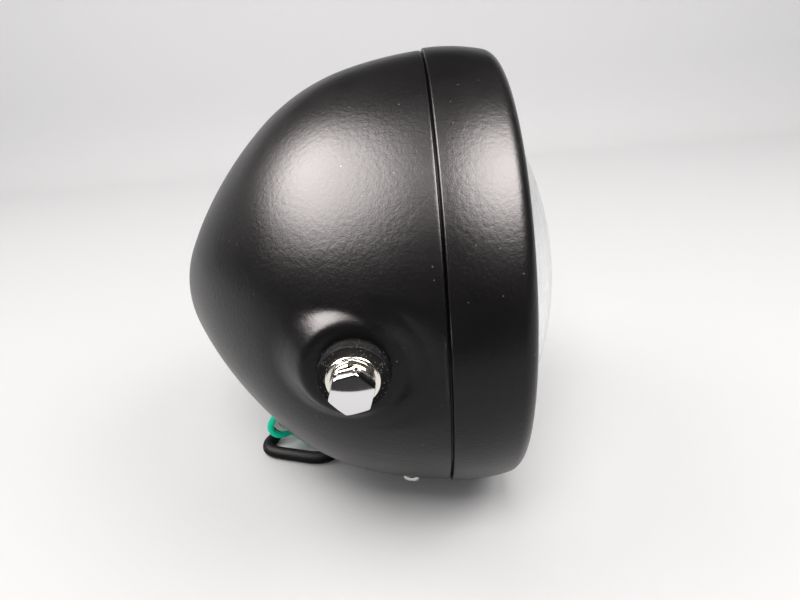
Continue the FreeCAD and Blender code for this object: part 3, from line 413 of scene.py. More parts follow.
whiteLead = {"diameter": 0.0032, "length": 0.050, "route": [
    (-0.03979, -0.0017, -0.05692), (-0.04586, -0.0017, -0.06287), (-0.0490, -0.0017, -0.06759),
    (-0.0524, -0.0017, -0.07460), (-0.0506, -0.0012, -0.07920), (-0.0474, 0.0008, -0.08160),
    (-0.0426, 0.0066, -0.08300), (-0.0388, 0.0084, -0.08924), (-0.0350, 0.0136, -0.08924)]}
leadSpline = {"round": 6, "steps": 10, "order": 3}


def makeLead(name, lead, material, node):  # smooth spline that the route's points pull along
    data = bpy.data.curves.new(name, "CURVE")
    data.dimensions = "3D"
    data.bevel_depth = lead["diameter"] / 2
    data.bevel_resolution = leadSpline["round"]
    data.resolution_u = leadSpline["steps"]
    data.use_fill_caps = True
    spline = data.splines.new("NURBS")
    spline.points.add(len(lead["route"]) - 1)
    for point, place in zip(spline.points, lead["route"]):
        point.co = (*place, 1.0)
    spline.order_u = leadSpline["order"]
    spline.use_endpoint_u = True
    return addPiece(name, data, material, [node])


def leadEnd(lead):  # last point in millimetres, and the heading there
    last = np.array(lead["route"][-1]) / mm
    ahead = last - np.array(lead["route"][-2]) / mm
    return last, ahead / np.linalg.norm(ahead)


bullet = {"sleeveRadius": 2.3, "sleeveLength": 7.0, "sleeveRound": 0.5, "pinRadius": 2.0, "pinLength": 8.0,
          "waist": 0.45, "waistAt": (3.4, 3.9, 4.5, 5.0), "columns": 40}


def makeBullet(name, lead):  # sleeve over the crimp, then a pin with a waist and a round nose
    end, ahead = leadEnd(lead)
    start = bullet["sleeveLength"]
    wide = bullet["sleeveRadius"]
    ease = bullet["sleeveRound"]
    sleeve = roundedSection([(0, 0.0), (0, wide), (start, wide), (start, 0.0)], [0, ease, ease, 0])
    nose = np.radians(np.linspace(0, 90, 9))
    r = bullet["pinRadius"]
    thin = r - bullet["waist"]
    body = [(start, 0.0), (start, r)]
    body += list(zip(start + np.array(bullet["waistAt"]), (r, thin, thin, r)))
    tip = start + bullet["pinLength"] - r
    body += list(zip(tip + r * np.sin(nose), r * np.cos(nose)))
    return (makePiece(name + "Sleeve", [toFrame(lathe(sleeve, bullet["columns"], False), end, ahead, upward)],
                      finish["sleeve"], ["bullet_sleeves"]),
            makePiece(name + "Pin", [toFrame(lathe(body, bullet["columns"], False), end, ahead, upward)],
                      finish["brass"], ["bullet_terminals"]))


plug = {"length": 22.0, "width": 27.0, "height": 16.0, "corner": 2.6, "squareness": 7.0, "relief": 4.4,
        "reliefLength": 8.0, "reliefSink": 1.0, "ribDepth": 0.35, "ribPitch": 2.2, "ribStop": 0.6,
        "bladeWidth": 7.7, "bladeThick": 0.8, "bladeLength": 11.0, "bladeSpread": 8.0, "bladeSquareness": 9.0,
        "bladeRoot": 0.01, "bladeTip": (1.2, 0.3), "bladeTaper": (0.0, 1.0, 1.0, 0.86, 0.6, 0.0),
        "bladeBlunt": 1.3}


def roundedBox(x, halfY, halfZ, power, columns=96):  # superellipse sections along x
    a = fullTurn(columns)
    c, s = np.cos(a), np.sin(a)
    scale = (np.abs(c) ** power + np.abs(s) ** power) ** (-1 / power)
    verts = [x[:, None] + 0 * a, halfY[:, None] * c * scale, halfZ[:, None] * s * scale]
    return np.stack(verts, -1).reshape(-1, 3), gridFaces(len(x), columns, False, True)


def makePlug():  # cosine ribs on the relief, then a block whose ends are eased by quarter circles, and blades
    end, ahead = leadEnd(cableLead)
    back = plug["reliefLength"]
    ribs = np.linspace(0, back - plug["ribStop"], 41)
    wave = plug["relief"] - plug["ribDepth"] + plug["ribDepth"] * np.cos(ribs * 2 * np.pi / plug["ribPitch"])
    sunk = back + plug["reliefSink"]
    relief = np.vstack([[(0, 0.0)], np.column_stack([ribs, wave]), [(sunk, plug["relief"]), (sunk, 0.0)]])
    half = plug["height"] / 2
    ease = np.radians(np.linspace(0, 90, 8))
    along = plug["corner"] * (1 - np.cos(ease))
    inward = plug["corner"] * (1 - np.sin(ease))
    bulge = np.concatenate([[0], along, [plug["length"] / 2], plug["length"] - along[::-1], [plug["length"]]])
    shrink = np.concatenate([[half], inward, [0], inward[::-1], [half]])
    flat = np.maximum(plug["width"] / 2 - shrink * plug["width"] / plug["height"], 0)
    verts, faces = roundedBox(back + bulge, flat, np.maximum(half - shrink, 0), plug["squareness"])
    rise = half - plug["relief"]
    verts[:, 2] += rise  # the block lies on the floor, the relief at the cable's height
    body = makePiece("plugBody", [toFrame((verts, faces), end, ahead, upward),
                                  toFrame(lathe(relief, 56, False), end, ahead, upward)],
                     finish["moulded"], ["plug_body"])
    blades = []
    length = plug["bladeLength"]
    x = back + plug["length"] + np.array([0.0, plug["bladeRoot"], length - plug["bladeTip"][0],
                                          length - plug["bladeTip"][1], length, length])
    taper = np.array(plug["bladeTaper"])
    wide = plug["bladeWidth"] / 2 * taper
    thin = plug["bladeThick"] / 2 * np.minimum(1, taper * plug["bladeBlunt"])
    for side in (1, -1):
        verts, faces = roundedBox(x, thin, wide, plug["bladeSquareness"], 48)
        blades.append(toFrame((verts + (0, side * plug["bladeSpread"], rise), faces), end, ahead, upward))
    verts, faces = roundedBox(x, wide, thin, plug["bladeSquareness"], 48)
    verts = verts + (0, 0, rise + (plug["bladeWidth"] - plug["bladeThick"]) / 2)
    blades.append(toFrame((verts, faces), end, ahead, upward))
    return body, makePiece("plugBlades", blades, finish["brass"], ["plug_blades"])


cable = makeLead("cable.sheathed", cableLead, finish["sheath"], "cable")
greenWire = makeLead("wire.green", greenLead, finish["green"], "green_wire")
whiteWire = makeLead("wire.white", whiteLead, finish["white"], "white_wire")
makePlug()
makeBullet("greenBullet", greenLead)
makeBullet("whiteBullet", whiteLead)
print("leads laid")


# Bucket: tangent arcs turned about the lamp's axis, with a boss pressed into each side

bucket = {"mouthX": 29.8, "mouthRadius": 90.7, "mouthAngle": 3.8, "sheet": 1.2, "edgeRound": 0.6,
          "arcs": ((159.0, 10.8), (85.4, 27.9), (174.0, 18.9)), "steps": (40, 48, 26, 18), "lipX": 30.2,
          "lipRadius": 88.5, "lipLap": 0.05, "bossFace": 86.0, "bossRadius": 17.2, "bossSlope": 37.0,
          "bossSoft": 0.7, "bossBlend": 2.2, "bossZone": 45.0, "dishRise": 0.6, "dishBlend": 7.0,
          "dishEase": 1.5, "crease": 0.05, "blendFrom": 2.0, "blendSpan": 9.0, "fineSpan": 27.0,
          "fineStep": 0.5, "coarseStep": 3.0}


def bucketSpans():  # the arcs from the mouth, then a nose that meets the axis square
    spans = arcChain(bucket["mouthX"], bucket["mouthRadius"], bucket["mouthAngle"], bucket["arcs"])
    cx, cr, radius, first, last = spans[-1]
    a = np.radians(last)
    noseRadius = (cr + radius * np.cos(a)) / np.cos(a)
    return spans + [(cx - radius * np.sin(a) + noseRadius * np.sin(a), 0.0, noseRadius, last, 90.0)]


def softMax(a, b, width):  # the larger of two heights, with a fillet of about this width
    h = np.clip(0.5 + 0.5 * (a - b) / width, 0, 1)
    return b + (a - b) * h + width * h * (1 - h)


def pressBoss(verts, inset):  # flat round seat: proud of the wall behind the bolt, sunk in front of it
    reach = np.abs(verts[:, 1])
    away = np.hypot(verts[:, 0], verts[:, 2]) - bucket["bossRadius"]
    ramp = (away + np.sqrt(away ** 2 + bucket["bossSoft"] ** 2)) / 2 / np.tan(np.radians(bucket["bossSlope"]))
    face = bucket["bossFace"] - inset
    near = np.clip((away + bucket["blendFrom"]) / bucket["blendSpan"], 0, 1)
    y = softMax(reach, face - ramp, bucket["crease"] + bucket["bossBlend"] * near)
    past = np.maximum(away, 0)
    dish = face + past ** 2 / (past + bucket["dishEase"]) * bucket["dishRise"]
    y = -softMax(-y, -dish, bucket["crease"] + bucket["dishBlend"] * near)
    verts[:, 1] = np.where(reach > bucket["bossZone"], np.sign(verts[:, 1]) * y, verts[:, 1])
    return verts


def bucketAngles():  # columns crowd round the bosses
    fine = np.arange(-bucket["fineSpan"], bucket["fineSpan"] + bucket["fineStep"] / 2, bucket["fineStep"])
    gap = 180 - 2 * bucket["fineSpan"]
    coarse = np.linspace(0, gap, int(gap / bucket["coarseStep"]) + 1)[1:-1] + bucket["fineSpan"]
    half = np.concatenate([90 + fine, 90 + coarse])
    return np.radians(np.concatenate([half, half + 180]))


def makeBucket():  # outer wall, rolled edge, lip and inner wall, turned as one surface from pole to pole
    spans = bucketSpans()
    angles = bucketAngles()
    outer = chainPoints(spans, bucket["steps"])
    outer = outer[outer[:, 0] < bucket["lipX"] - bucket["edgeRound"]]
    ease = np.radians(np.linspace(0, 90, 6))
    rolled = np.column_stack([bucket["lipX"] - bucket["edgeRound"] * (1 - np.cos(ease)),
                              outer[0, 1] - bucket["edgeRound"] * (1 - np.sin(ease))])
    outer[-1, 1] = 0
    inner = chainPoints(spans, [count // 2 for count in bucket["steps"]], bucket["sheet"])
    lipBack = bucket["mouthX"] - bucket["sheet"]
    inner = inner[inner[:, 0] < lipBack]
    inner[-1, 1] = 0
    lip = [(bucket["lipX"], bucket["lipRadius"]), (lipBack, bucket["lipRadius"]),
           (lipBack, inner[0, 1] + bucket["lipLap"])]
    shell = [pressBoss(turnX(outer[::-1], angles), 0.0), turnX(rolled[::-1], angles), turnX(lip, angles),
             pressBoss(turnX(inner, angles), bucket["sheet"])]
    rows = len(outer) + len(rolled) + len(lip) + len(inner)
    return makePiece("bucketShell", [(np.concatenate(shell), gridFaces(rows, len(angles), False, True))],
                     finish["paint"], ["bucket"], 50.0)


makeBucket()
print("bucket pressed")


# Rim: crowned wall, rounded front corner, lip turned back to the lens

rim = {"rearX": 30.9, "rearRadius": 91.4, "rise": 4.0, "arcs": ((78.0, -17.0), (7.0, -77.0), (4.0, -60.0)),
       "steps": (26, 16, 12), "columns": 240, "lipLength": 4.0, "sheet": 1.2, "edgeRound": 0.7,
       "spigotRadius": 88.2, "spigotLength": 6.0, "tongueReach": 22.9, "tongueRadius": 86.03,
       "tongueWidth": 14.0, "screwAngle": 35.0}


def makeRim():  # one closed section turned about the axis, and two tongues that are parts of a turn
    spans = arcChain(rim["rearX"], rim["rearRadius"], rim["rise"], rim["arcs"])
    outer = chainPoints(spans, rim["steps"])
    inner = chainPoints(spans, rim["steps"], rim["sheet"])
    bend = np.radians(spans[-1][4])
    reach = np.array([np.cos(bend), np.sin(bend)]) * rim["lipLength"]
    middle = (outer[-1] + inner[-1]) / 2 + reach
    across = (outer[-1] - inner[-1]) / 2
    swing = np.radians(np.linspace(90, -90, 7))[:, None]
    tip = middle + np.sin(swing) * across + np.cos(swing) * reach / rim["lipLength"] * rim["sheet"] / 2
    outer = outer[outer[:, 0] > rim["rearX"] + rim["edgeRound"]]
    inner = inner[inner[:, 0] > rim["rearX"] + rim["sheet"]]
    ease = np.radians(np.linspace(0, 90, 7))
    rolled = np.column_stack([rim["rearX"] + rim["edgeRound"] * (1 - np.sin(ease)),
                              outer[0, 1] - rim["edgeRound"] * (1 - np.cos(ease))])[::-1]
    spigotEnd = rim["rearX"] - rim["spigotLength"]
    low = rim["spigotRadius"] - rim["sheet"]
    ledge = [(rim["rearX"] + rim["sheet"], inner[0, 1]), (rim["rearX"] + rim["sheet"], low), (spigotEnd, low),
             (spigotEnd, rim["spigotRadius"]), (rim["rearX"], rim["spigotRadius"])]
    section = np.concatenate([rolled, outer, tip, inner[::-1], ledge])
    tongueEnd = rim["rearX"] - rim["tongueReach"]
    tongue = [(spigotEnd, rim["spigotRadius"]), (tongueEnd, rim["tongueRadius"]),
              (tongueEnd, rim["tongueRadius"] - rim["sheet"]), (spigotEnd, low)]
    half = np.degrees(rim["tongueWidth"] / rim["spigotRadius"]) / 2
    parts = [lathe(section, rim["columns"])]
    for side in (1, -1):
        centre = 180 + side * rim["screwAngle"]
        parts.append(sector(tongue, centre - half, centre + half, 7))
    return makePiece("rimRing", parts, finish["paint"], ["rim"], 50.0)


makeRim()


# Lens dome with its skirt, and the rubber ring round it

lens = {"apexX": 80.41, "radius": 123.0, "thick": 3.0, "edge": 81.0, "skirt": 2.5, "rearX": 42.1, "ease": 0.6}


def makeLens():  # two spheres about one centre, joined by a straight skirt
    centreX = lens["apexX"] - lens["radius"]
    innerRadius = lens["radius"] - lens["thick"]
    r = np.linspace(0, 1, 34)
    outer = r * (lens["edge"] - lens["ease"])
    inner = r[::-1] * (lens["edge"] - lens["skirt"])
    front = np.column_stack([centreX + np.sqrt(lens["radius"] ** 2 - outer ** 2), outer])
    back = np.column_stack([centreX + np.sqrt(innerRadius ** 2 - inner ** 2), inner])
    brow = centreX + np.sqrt(lens["radius"] ** 2 - lens["edge"] ** 2)
    skirt = [(brow - lens["ease"], lens["edge"]), (lens["rearX"], lens["edge"]),
             (lens["rearX"], lens["edge"] - lens["skirt"])]
    section = np.concatenate([front, skirt, back])
    return makePiece("lensDome", [lathe(section, loop=False)], finish["lens"], ["lens"], 30.0)


makeLens()

gasket = {"section": [(52.0, 78.7), (53.15, 78.7), (56.0, 80.35), (56.0, 84.0), (47.05, 84.0), (47.05, 81.05),
                      (50.1, 81.05)], "round": 0.35}


def makeGasket():  # an eased section turned about the axis
    section = roundedSection(gasket["section"], [gasket["round"]] * len(gasket["section"]), 4)
    return makePiece("lensGasket", [lathe(section)], finish["rubber"], ["lens_gasket"])


makeGasket()
print("rim, lens and gasket turned")


# Side bolts on their stacks: rubber bush, flat washer, split washer, hexagon head

stack = {"bush": 5.1, "bushRadius": 11.5, "washer": 1.6, "washerRadius": 8.7, "split": 3.1,
         "splitRise": 1.0, "splitRadius": 7.2, "bore": 4.25, "splitGap": 13.0, "shank": 4.0,
         "shankLength": 20.0, "shankChamfer": 0.6, "across": 13.0, "cornerPower": 60, "head": 5.3,
         "crown": 34.0, "twist": 12.4, "chamferFrom": 7.25, "chamferAngle": 32.0, "chamferSoft": 0.3,
         "footEase": (0.25, 0.12), "footEnd": 0.5, "browDrop": 0.28, "browEase": (0.07, 0.05),
         "flash": 0.6, "flashHalf": 0.12, "flashAt": 0.9, "flashFrom": 0.05, "hair": 0.09, "tailHair": 0.135}


def onBolt(part):  # local x along the bolt, away from the lamp
    return toFrame(part, (0, 0, 0), outward, upward)


def strand(points, radius, sides=7):  # thin round thread along a given path
    aside = (0.3, 1.0, 0.2)  # a direction that no path takes
    ahead = np.gradient(points, axis=0)
    ahead = ahead / np.linalg.norm(ahead, axis=1)[:, None]
    side = np.cross(ahead, aside)
    side = side / np.linalg.norm(side, axis=1)[:, None]
    over = np.cross(ahead, side)
    a = fullTurn(sides)
    reach = radius * np.sin(np.pi * np.linspace(0.04, 0.96, len(points))) ** 0.35  # thinner at both ends
    ringed = side[:, None] * np.cos(a)[:, None] + over[:, None] * np.sin(a)[:, None]
    verts = points[:, None] + ringed * reach[:, None, None]
    faces = gridFaces(len(points), sides, False, True).tolist()
    faces += [list(range(sides)), [(len(points) - 1) * sides + k for k in range(sides)][::-1]]
    return verts.reshape(-1, 3), faces


def makeBushes():  # moulded ring, a ragged skin of flash round its rear edge, two hairs of the same rubber
    start = bucket["bossFace"]
    end = start + stack["bush"]
    r = stack["bushRadius"]
    skin = start + stack["flashAt"]
    section = roundedSection([(start, stack["bore"]), (start, r), (skin - stack["flashHalf"], r),
                              (skin, r + stack["flash"]), (skin + stack["flashHalf"], r), (end, r),
                              (end, stack["bore"])], [0.2, 0.4, 0.05, 0.04, 0.05, 0.45, 0.3])
    verts, faces = lathe(section, 240)
    a = np.arctan2(verts[:, 1], verts[:, 2])
    # four waves that beat against each other fray the flash alone
    rough = np.sin(a * 23 + 1.3) * np.sin(a * 9 + 0.4) + 0.7 * np.sin(a * 57 + 2.1) * np.sin(a * 31)
    over = np.hypot(verts[:, 1], verts[:, 2]) - r
    ragged = 1 + np.where(over > stack["flashFrom"], over / r * (0.5 * rough - 0.15), 0)
    verts[:, 1:] *= ragged[:, None]
    parts = mirrored([onBolt((verts, faces))])
    t = np.linspace(0, 1, 26)  # the hairs' paths, laid on the near bush
    loop = np.column_stack([-9.2 - 0.9 * np.sin(np.pi * t) + 2.6 * t ** 3,
                            -end - 0.15 - 0.5 * np.sin(np.pi * t), 0.4 + 4.3 * t])
    tail = np.column_stack([10.2 + 2.2 * t, -end + 0.5 + 1.1 * t ** 2, -1.2 - 0.9 * t + 1.7 * t ** 3])
    parts += [strand(loop, stack["hair"]), strand(tail, stack["tailHair"])]
    return makePiece("rubberBushes", parts, finish["rubber"], ["rubber_bushes"])


def makeWashers():  # an eased section turned round the bolt, and a cut one that climbs as it turns
    start = bucket["bossFace"] + stack["bush"]
    end = start + stack["washer"]
    section = roundedSection([(start, stack["bore"]), (start, stack["washerRadius"]),
                              (end, stack["washerRadius"]), (end, stack["bore"])], [0.15, 0.25, 0.55, 0.2])
    makePiece("flatWashers", mirrored([onBolt(lathe(section, 96))]), finish["warmChrome"],
              ["flat_washers"])
    thick = stack["split"] - stack["splitRise"]
    section = roundedSection([(end, stack["bore"]), (end, stack["splitRadius"]),
                              (end + thick, stack["splitRadius"]), (end + thick, stack["bore"])],
                             [0.2, 0.35, 0.35, 0.2])
    gap = stack["splitGap"] / 2
    verts, faces = sector(section, gap, 360 - gap, 88)
    turned = np.arctan2(verts[:, 1], verts[:, 2]) % (2 * np.pi) / (2 * np.pi)
    verts[:, 0] += stack["splitRise"] * turned  # one coil
    return makePiece("splitWashers", mirrored([onBolt((verts, faces))]),
                     finish["warmChrome"], ["split_washers"])


def makeBolts():  # shank, bearing face, six flats with eased corners, and a crown with a chamfer
    columns = 144
    a = fullTurn(columns)
    flats = np.radians(stack["twist"] + 30 + 60 * np.arange(6))
    lean = np.clip(np.cos(a[:, None] - flats), 0, 1) ** stack["cornerPower"]
    flank = stack["across"] / 2 * np.sum(lean, 1) ** (-1 / stack["cornerPower"])
    start = bucket["bossFace"] + stack["bush"] + stack["washer"] + stack["split"]

    def crownHeight(r):  # shallow sphere, less a cone beyond the chamfer's circle
        over = r - stack["chamferFrom"]
        slope = np.tan(np.radians(stack["chamferAngle"]))
        drop = (over + np.sqrt(over ** 2 + stack["chamferSoft"] ** 2)) / 2 * slope
        return stack["head"] - r ** 2 / (2 * stack["crown"]) - drop

    shankRadius = 0 * a + stack["shank"]
    foot = start - stack["shankLength"]
    ease = stack["shankChamfer"]
    rise, narrow = stack["footEase"]
    dip, shy = stack["browEase"]
    rows = [(foot, 0 * a), (foot, shankRadius - ease), (foot + ease, shankRadius), (start, shankRadius),
            (start, np.minimum(flank, stack["chamferFrom"])), (start + rise, flank - narrow),
            (start + stack["footEnd"], flank), (start + crownHeight(flank) - stack["browDrop"], flank),
            (start + crownHeight(flank - shy) - dip, flank - shy)]
    rows += [(start + crownHeight(flank * s), flank * s) for s in np.linspace(0.97, 0, 22)]
    x = np.stack([np.broadcast_to(np.asarray(h, float), a.shape) for h, r in rows])
    r = np.stack([np.broadcast_to(r, a.shape) for h, r in rows])
    verts = np.stack([r * np.cos(a), x, r * np.sin(a)], -1).reshape(-1, 3)
    part = (verts, gridFaces(len(rows), columns, False, True))
    return makePiece("sideBolts", mirrored([part]), finish["chrome"], ["side_bolts"], 24.0)


makeBushes()
makeWashers()
makeBolts()
print("bolt stacks set")


# Rim screws: pan heads with a cross recess, square to the bucket's wall

screw = {"site": (14.8, 88.985), "lean": 9.243, "radius": 3.6, "height": 2.0, "sink": 0.3, "shank": 2.0,
         "length": 9.0, "slotHalf": 0.55, "slotReach": 2.0, "slotDepth": 1.2, "slotTaper": 0.35}


def makeRimScrews():  # fourth power dome, sunk where a point is near either line of the cross
    a = fullTurn(72)
    s = np.concatenate([np.linspace(0, 0.72, 26), np.linspace(0.74, 1.0, 12)])  # shares of the radius
    r = (s * screw["radius"])[:, None] + 0 * a
    dome = screw["height"] * np.sqrt(np.clip(1 - (r / screw["radius"]) ** 4, 0, 1))
    u, v = np.abs(r * np.cos(a)), np.abs(r * np.sin(a))
    inSlot = (np.minimum(u, v) < screw["slotHalf"]) & (np.maximum(u, v) < screw["slotReach"])
    x = dome - inSlot * screw["slotDepth"] * (1 - screw["slotTaper"] * np.maximum(u, v) / screw["slotReach"])
    foot = np.array([(-screw["sink"], screw["radius"]), (-screw["sink"], screw["shank"]),
                     (-screw["length"], screw["shank"]), (-screw["length"], 0.0)])
    x = np.concatenate([x, foot[:, :1] + 0 * a])
    r = np.concatenate([r, foot[:, 1:] + 0 * a])
    verts = np.stack([x, r * np.sin(a), r * np.cos(a)], -1).reshape(-1, 3)
    part = (verts, gridFaces(len(x), len(a), False, True))
    lean = np.radians(screw["lean"])
    parts = []
    for side in (1, -1):
        turn = np.radians(180 + side * rim["screwAngle"])
        around = np.array([0.0, np.sin(turn), np.cos(turn)])
        place = around * screw["site"][1] + np.array([screw["site"][0], 0, 0])
        normal = around * np.cos(lean) - np.array([np.sin(lean), 0, 0])
        parts.append(toFrame(part, place, normal, forward))
    return makePiece("rimScrews", parts, finish["zinc"], ["rim_screws"], 30.0)


makeRimScrews()


# Grommet in the rear underside: its foot follows the bucket's wall

grommet = {"site": (-42.65, 0.0, -59.718), "normal": (-0.71432, 0.0, -0.69981), "radius": 11.0, "height": 3.0,
           "round": 1.6, "lift": 0.02, "depth": 4.0, "neckRadius": 8.1, "innerRadius": 9.8, "meridian": 174.0,
           "girth": 85.0, "collars": ((3.2, 3.9), (-5.1, 2.2), (-1.7, 2.2)), "collarFrom": 0.5,
           "collarHeight": 0.9}


def makeGrommet():  # turned cap, bent down along the wall's two curvatures, with a collar for each lead
    a = fullTurn(96)
    ease = np.radians(np.linspace(0, 90, 7))
    top = [(grommet["height"], 0.0), (grommet["height"], grommet["radius"] / 2)]
    top += list(zip(grommet["height"] - grommet["round"] * (1 - np.cos(ease)),
                    grommet["radius"] - grommet["round"] * (1 - np.sin(ease))))
    low = [(grommet["lift"], grommet["radius"]), (grommet["lift"], grommet["neckRadius"]),
           (-bucket["sheet"], grommet["neckRadius"]), (-bucket["sheet"], grommet["innerRadius"]),
           (-grommet["depth"], grommet["innerRadius"]), (-grommet["depth"], 0.0)]
    profile = np.array(top + low)
    x = profile[:, :1] + 0 * a
    r = profile[:, 1:] + 0 * a
    u, v = r * np.cos(a), r * np.sin(a)
    x = x - u ** 2 / (2 * grommet["meridian"]) - v ** 2 / (2 * grommet["girth"])
    body = (np.stack([x, v, u], -1).reshape(-1, 3), gridFaces(len(profile), len(a), False, True))
    normal = np.array(grommet["normal"])
    along = np.cross(outward, normal)
    parts = [toFrame(body, grommet["site"], normal, along)]
    foot = grommet["collarFrom"]
    tip = grommet["height"] + grommet["collarHeight"]
    for offset, radius in grommet["collars"]:
        section = roundedSection([(foot, 0.0), (foot, radius), (tip, radius), (tip, 0.0)], [0, 0.1, 0.5, 0])
        place = np.array(grommet["site"]) + (0, offset, 0)
        parts.append(toFrame(lathe(section, 36, False), place, normal, along))
    return makePiece("cableGrommet", parts, finish["rubber"], ["cable_grommet"])


makeGrommet()
print("grommet set")


# Pieces inside the lamp keep their own solids and take a finish

inside = {
    "zinc": ("rim_clip_nuts", "weld_nuts", "board_screws", "heat_sink_screws", "driver_screws", "cap_screws"),
    "spring": ("retaining_clips",),
    "rubber": ("lens_seal", "cap_seal", "vent_plug"),
    "housing": ("unit_housing", "trim_bezel", "bridge_cover"),
    "mirror": ("reflector",),
    "guide": ("light_guide",),
    "board": ("position_board", "low_beam_board", "high_beam_board"),
    "driver": ("driver_board",),
    "phosphor": ("position_leds", "low_beam_leds", "high_beam_leds"),
    "cast": ("bridge", "heat_sink", "rear_cap"),
    "moulded": ("cable_gland",),
    "sheath": ("inner_lead",),
}
for finishName, nodes in inside.items():
    for node in nodes:
        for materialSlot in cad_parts[node].material_slots:
            materialSlot.material = finish[finishName]
print("inner pieces finished")


# Table and backdrop in one sweep

sweep = {"front": -2400.0, "bend": 700.0, "bendRadius": 120.0, "top": 2200.0, "halfWidth": 3000.0,
         "floorColor": (0.84, 0.84, 0.84), "wallColor": (0.80, 0.80, 0.805), "blend": (-2.0, 90.0)}


def makeSweep():  # flat table, quarter circle, upright wall
    ease = np.radians(np.linspace(0, 90, 24))
    y = np.concatenate([[sweep["front"]], sweep["bend"] + sweep["bendRadius"] * np.sin(ease),
                        [sweep["bend"] + sweep["bendRadius"]]])
    z = np.concatenate([[0], sweep["bendRadius"] * (1 - np.cos(ease)), [sweep["top"]]])
    x = np.linspace(-sweep["halfWidth"], sweep["halfWidth"], 12)
    verts = np.stack([x + 0 * y[:, None], y[:, None] + 0 * x, z[:, None] + floorZ + 0 * x], -1).reshape(-1, 3)
    mesh = bpy.data.meshes.new("paperSweep")
    mesh.from_pydata((verts * mm).tolist(), [], gridFaces(len(y), len(x))[:, ::-1].tolist())
    mesh.polygons.foreach_set("use_smooth", np.ones(len(mesh.polygons), bool))
    material, tree, shader = newMaterial("palePaper", sweep["floorColor"], 0.9, Specular_IOR_Level=0.0)
    where = addNode(tree, "TexCoord")
    split = addNode(tree, "SeparateXYZ")
    tree.links.new(where.outputs["Object"], split.inputs[0])
    low, high = (floorZ + np.array(sweep["blend"])) * mm
    rise = addNode(tree, "MapRange", {"interpolation_type": "SMOOTHSTEP"}, From_Min=low, From_Max=high,
                   To_Min=0.0, To_Max=1.0)
    tree.links.new(split.outputs["Z"], rise.inputs["Value"])
    addMix(tree, sweep["floorColor"], sweep["wallColor"], rise.outputs["Result"], shader.inputs["Base Color"])
    mesh.materials.append(material)
    paper = bpy.data.objects.new("paperSweep", mesh)
    bpy.context.scene.collection.objects.link(paper)


makeSweep()


# Studio light: an even pale room, a soft box over the tail, one over the lens side and one in front,
# two bright cards with soft edges for the paint's gloss, a dark drape all round and a dark curtain before
# the wall; reflections alone see the cards, the drape and the curtain

lights = {
    "tailBox": {"azimuth": -100.0, "elevation": 55.0, "distance": 1.05, "size": (0.66, 0.54), "power": 2.8},
    "lensBox": {"azimuth": 75.0, "elevation": 48.0, "distance": 1.05, "size": (0.60, 0.50), "power": 3.3},
    "frontBox": {"azimuth": -6.0, "elevation": 57.0, "distance": 1.15, "size": (0.56, 0.42), "power": 6.8},
}
lampColor = (1.0, 0.97, 0.96)
cards = {
    "tailCard": {"azimuth": -72.0, "elevation": 51.0, "distance": 1.04, "half": (0.84, 0.66), "glow": 40.0},
    "lensCard": {"azimuth": 53.0, "elevation": 52.0, "distance": 1.04, "half": (0.66, 0.56), "glow": 50.0},
}
cardColor = (1.0, 0.93, 0.92)
cardGrid = {"points": 33, "core": 0.30, "fade": 0.70}
room = {"light": (0.43, 0.43, 0.43), "seen": (0.80, 0.80, 0.80), "drapeRadius": 1800.0,
        "drapeColor": (0.05, 0.05, 0.05), "apronFrom": -290.0, "apronLift": 1.0, "curtainAt": 790.0,
        "curtainFrom": 430.0}


def makeLights():  # soft boxes that light, but show neither to the eye nor in the gloss
    for name, box in lights.items():
        data = bpy.data.lights.new(name, "AREA")
        data.shape = "RECTANGLE"
        data.size, data.size_y = box["size"]
        data.energy = box["power"]
        data.color = lampColor
        lamp = bpy.data.objects.new(name, data)
        lamp.visible_camera = False
        lamp.visible_glossy = False
        bpy.context.scene.collection.objects.link(lamp)
        right, up, back = aimed(box["azimuth"], box["elevation"])
        lamp.matrix_world = placed(back * box["distance"], right, up, back)


def reflectionOnly(piece):  # stands round the lamp for its gloss, unseen and without a shadow
    piece.visible_camera = False
    piece.visible_diffuse = False
    piece.visible_transmission = False
    piece.visible_shadow = False
    bpy.context.scene.collection.objects.link(piece)


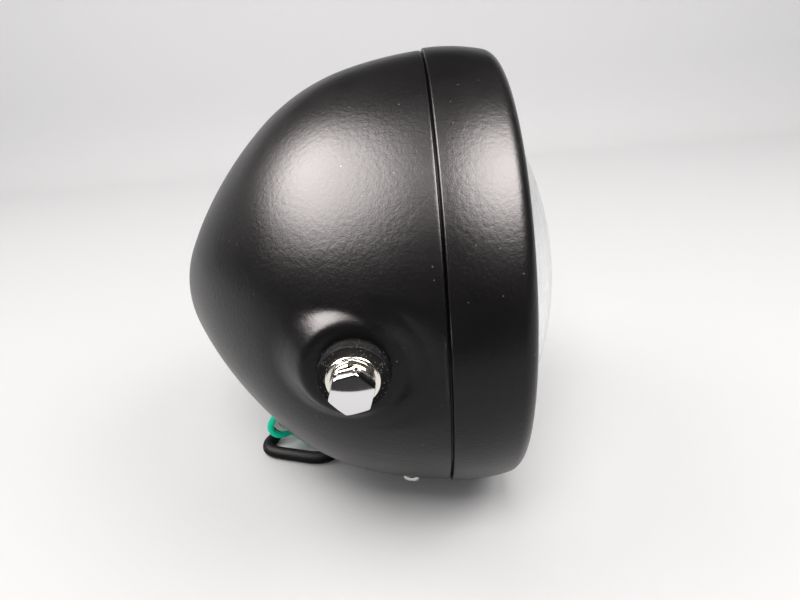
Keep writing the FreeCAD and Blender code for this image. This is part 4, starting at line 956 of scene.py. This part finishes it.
def makeCards():  # flat grid whose glow falls off smoothly from its middle to its edge
    count = cardGrid["points"]
    u, v = np.meshgrid(np.linspace(-1, 1, count), np.linspace(-1, 1, count), indexing="ij")
    off = np.clip((np.hypot(u, v) - cardGrid["core"]) / cardGrid["fade"], 0, 1)
    glow = (1 - off * off * (3 - 2 * off)).ravel().astype(np.float32)
    black = (0.0, 0.0, 0.0)
    for name, card in cards.items():
        right, up, back = aimed(card["azimuth"], card["elevation"])
        across, high = card["half"]
        place = u[..., None] * across * right + v[..., None] * high * up + back * card["distance"]
        mesh = bpy.data.meshes.new(name)
        mesh.from_pydata(place.reshape(-1, 3).tolist(), [], gridFaces(count, count).tolist())
        mesh.attributes.new("glow", "FLOAT", "POINT").data.foreach_set("value", glow)
        material, tree, shader = newMaterial(name, black, 1.0, Emission_Strength=card["glow"])
        level = addNode(tree, "Attribute", {"attribute_name": "glow"})
        addMix(tree, black, cardColor, level.outputs["Fac"], shader.inputs["Emission Color"])
        mesh.materials.append(material)
        reflectionOnly(bpy.data.objects.new(name, mesh))


def makeRoom():  # lights the scene at one level, and is seen by eye, gloss and glass at another
    world = bpy.data.worlds.new("paleRoom")
    world.use_nodes = True
    tree = world.node_tree
    path = addNode(tree, "LightPath").outputs
    seen = addMath(tree, "MAXIMUM", path["Is Camera Ray"], path["Is Glossy Ray"])
    seen = addMath(tree, "MAXIMUM", seen, path["Is Transmission Ray"])
    addMix(tree, room["light"], room["seen"], seen, tree.nodes["Background"].inputs["Color"])
    bpy.context.scene.world = world


def makeDrape():  # half a sphere standing on the table: height along its rows, turn along its columns
    rise = np.radians(np.linspace(0, 89, 16))[:, None]
    turn = fullTurn(48)
    verts = np.stack([np.cos(rise) * np.cos(turn), np.cos(rise) * np.sin(turn), np.sin(rise) + 0 * turn], -1)
    verts = verts.reshape(-1, 3) * room["drapeRadius"] + (0, 0, floorZ)
    far = room["drapeRadius"]
    near = room["apronFrom"]
    foot = floorZ + room["apronLift"]  # the drape's foot covers the table's front
    apron = np.array([(-far, -far, foot), (far, -far, foot), (far, near, foot), (-far, near, foot)])
    low = floorZ + room["curtainFrom"]
    back = room["curtainAt"]
    curtain = np.array([(-far, back, low), (far, back, low), (far, back, far), (-far, back, far)])
    quads = (len(verts) + np.arange(8).reshape(2, 4)).tolist()
    faces = gridFaces(len(rise), len(turn), False, True).tolist() + quads
    mesh = bpy.data.meshes.new("darkDrape")
    mesh.from_pydata((np.concatenate([verts, apron, curtain]) * mm).tolist(), [], faces)
    mesh.materials.append(newMaterial("darkCloth", room["drapeColor"], 0.9, Specular_IOR_Level=0.0)[0])
    reflectionOnly(bpy.data.objects.new("darkDrape", mesh))


makeLights()
makeCards()
makeRoom()
makeDrape()
bpy.context.scene.view_settings.view_transform = "Standard"
print("stage lit")
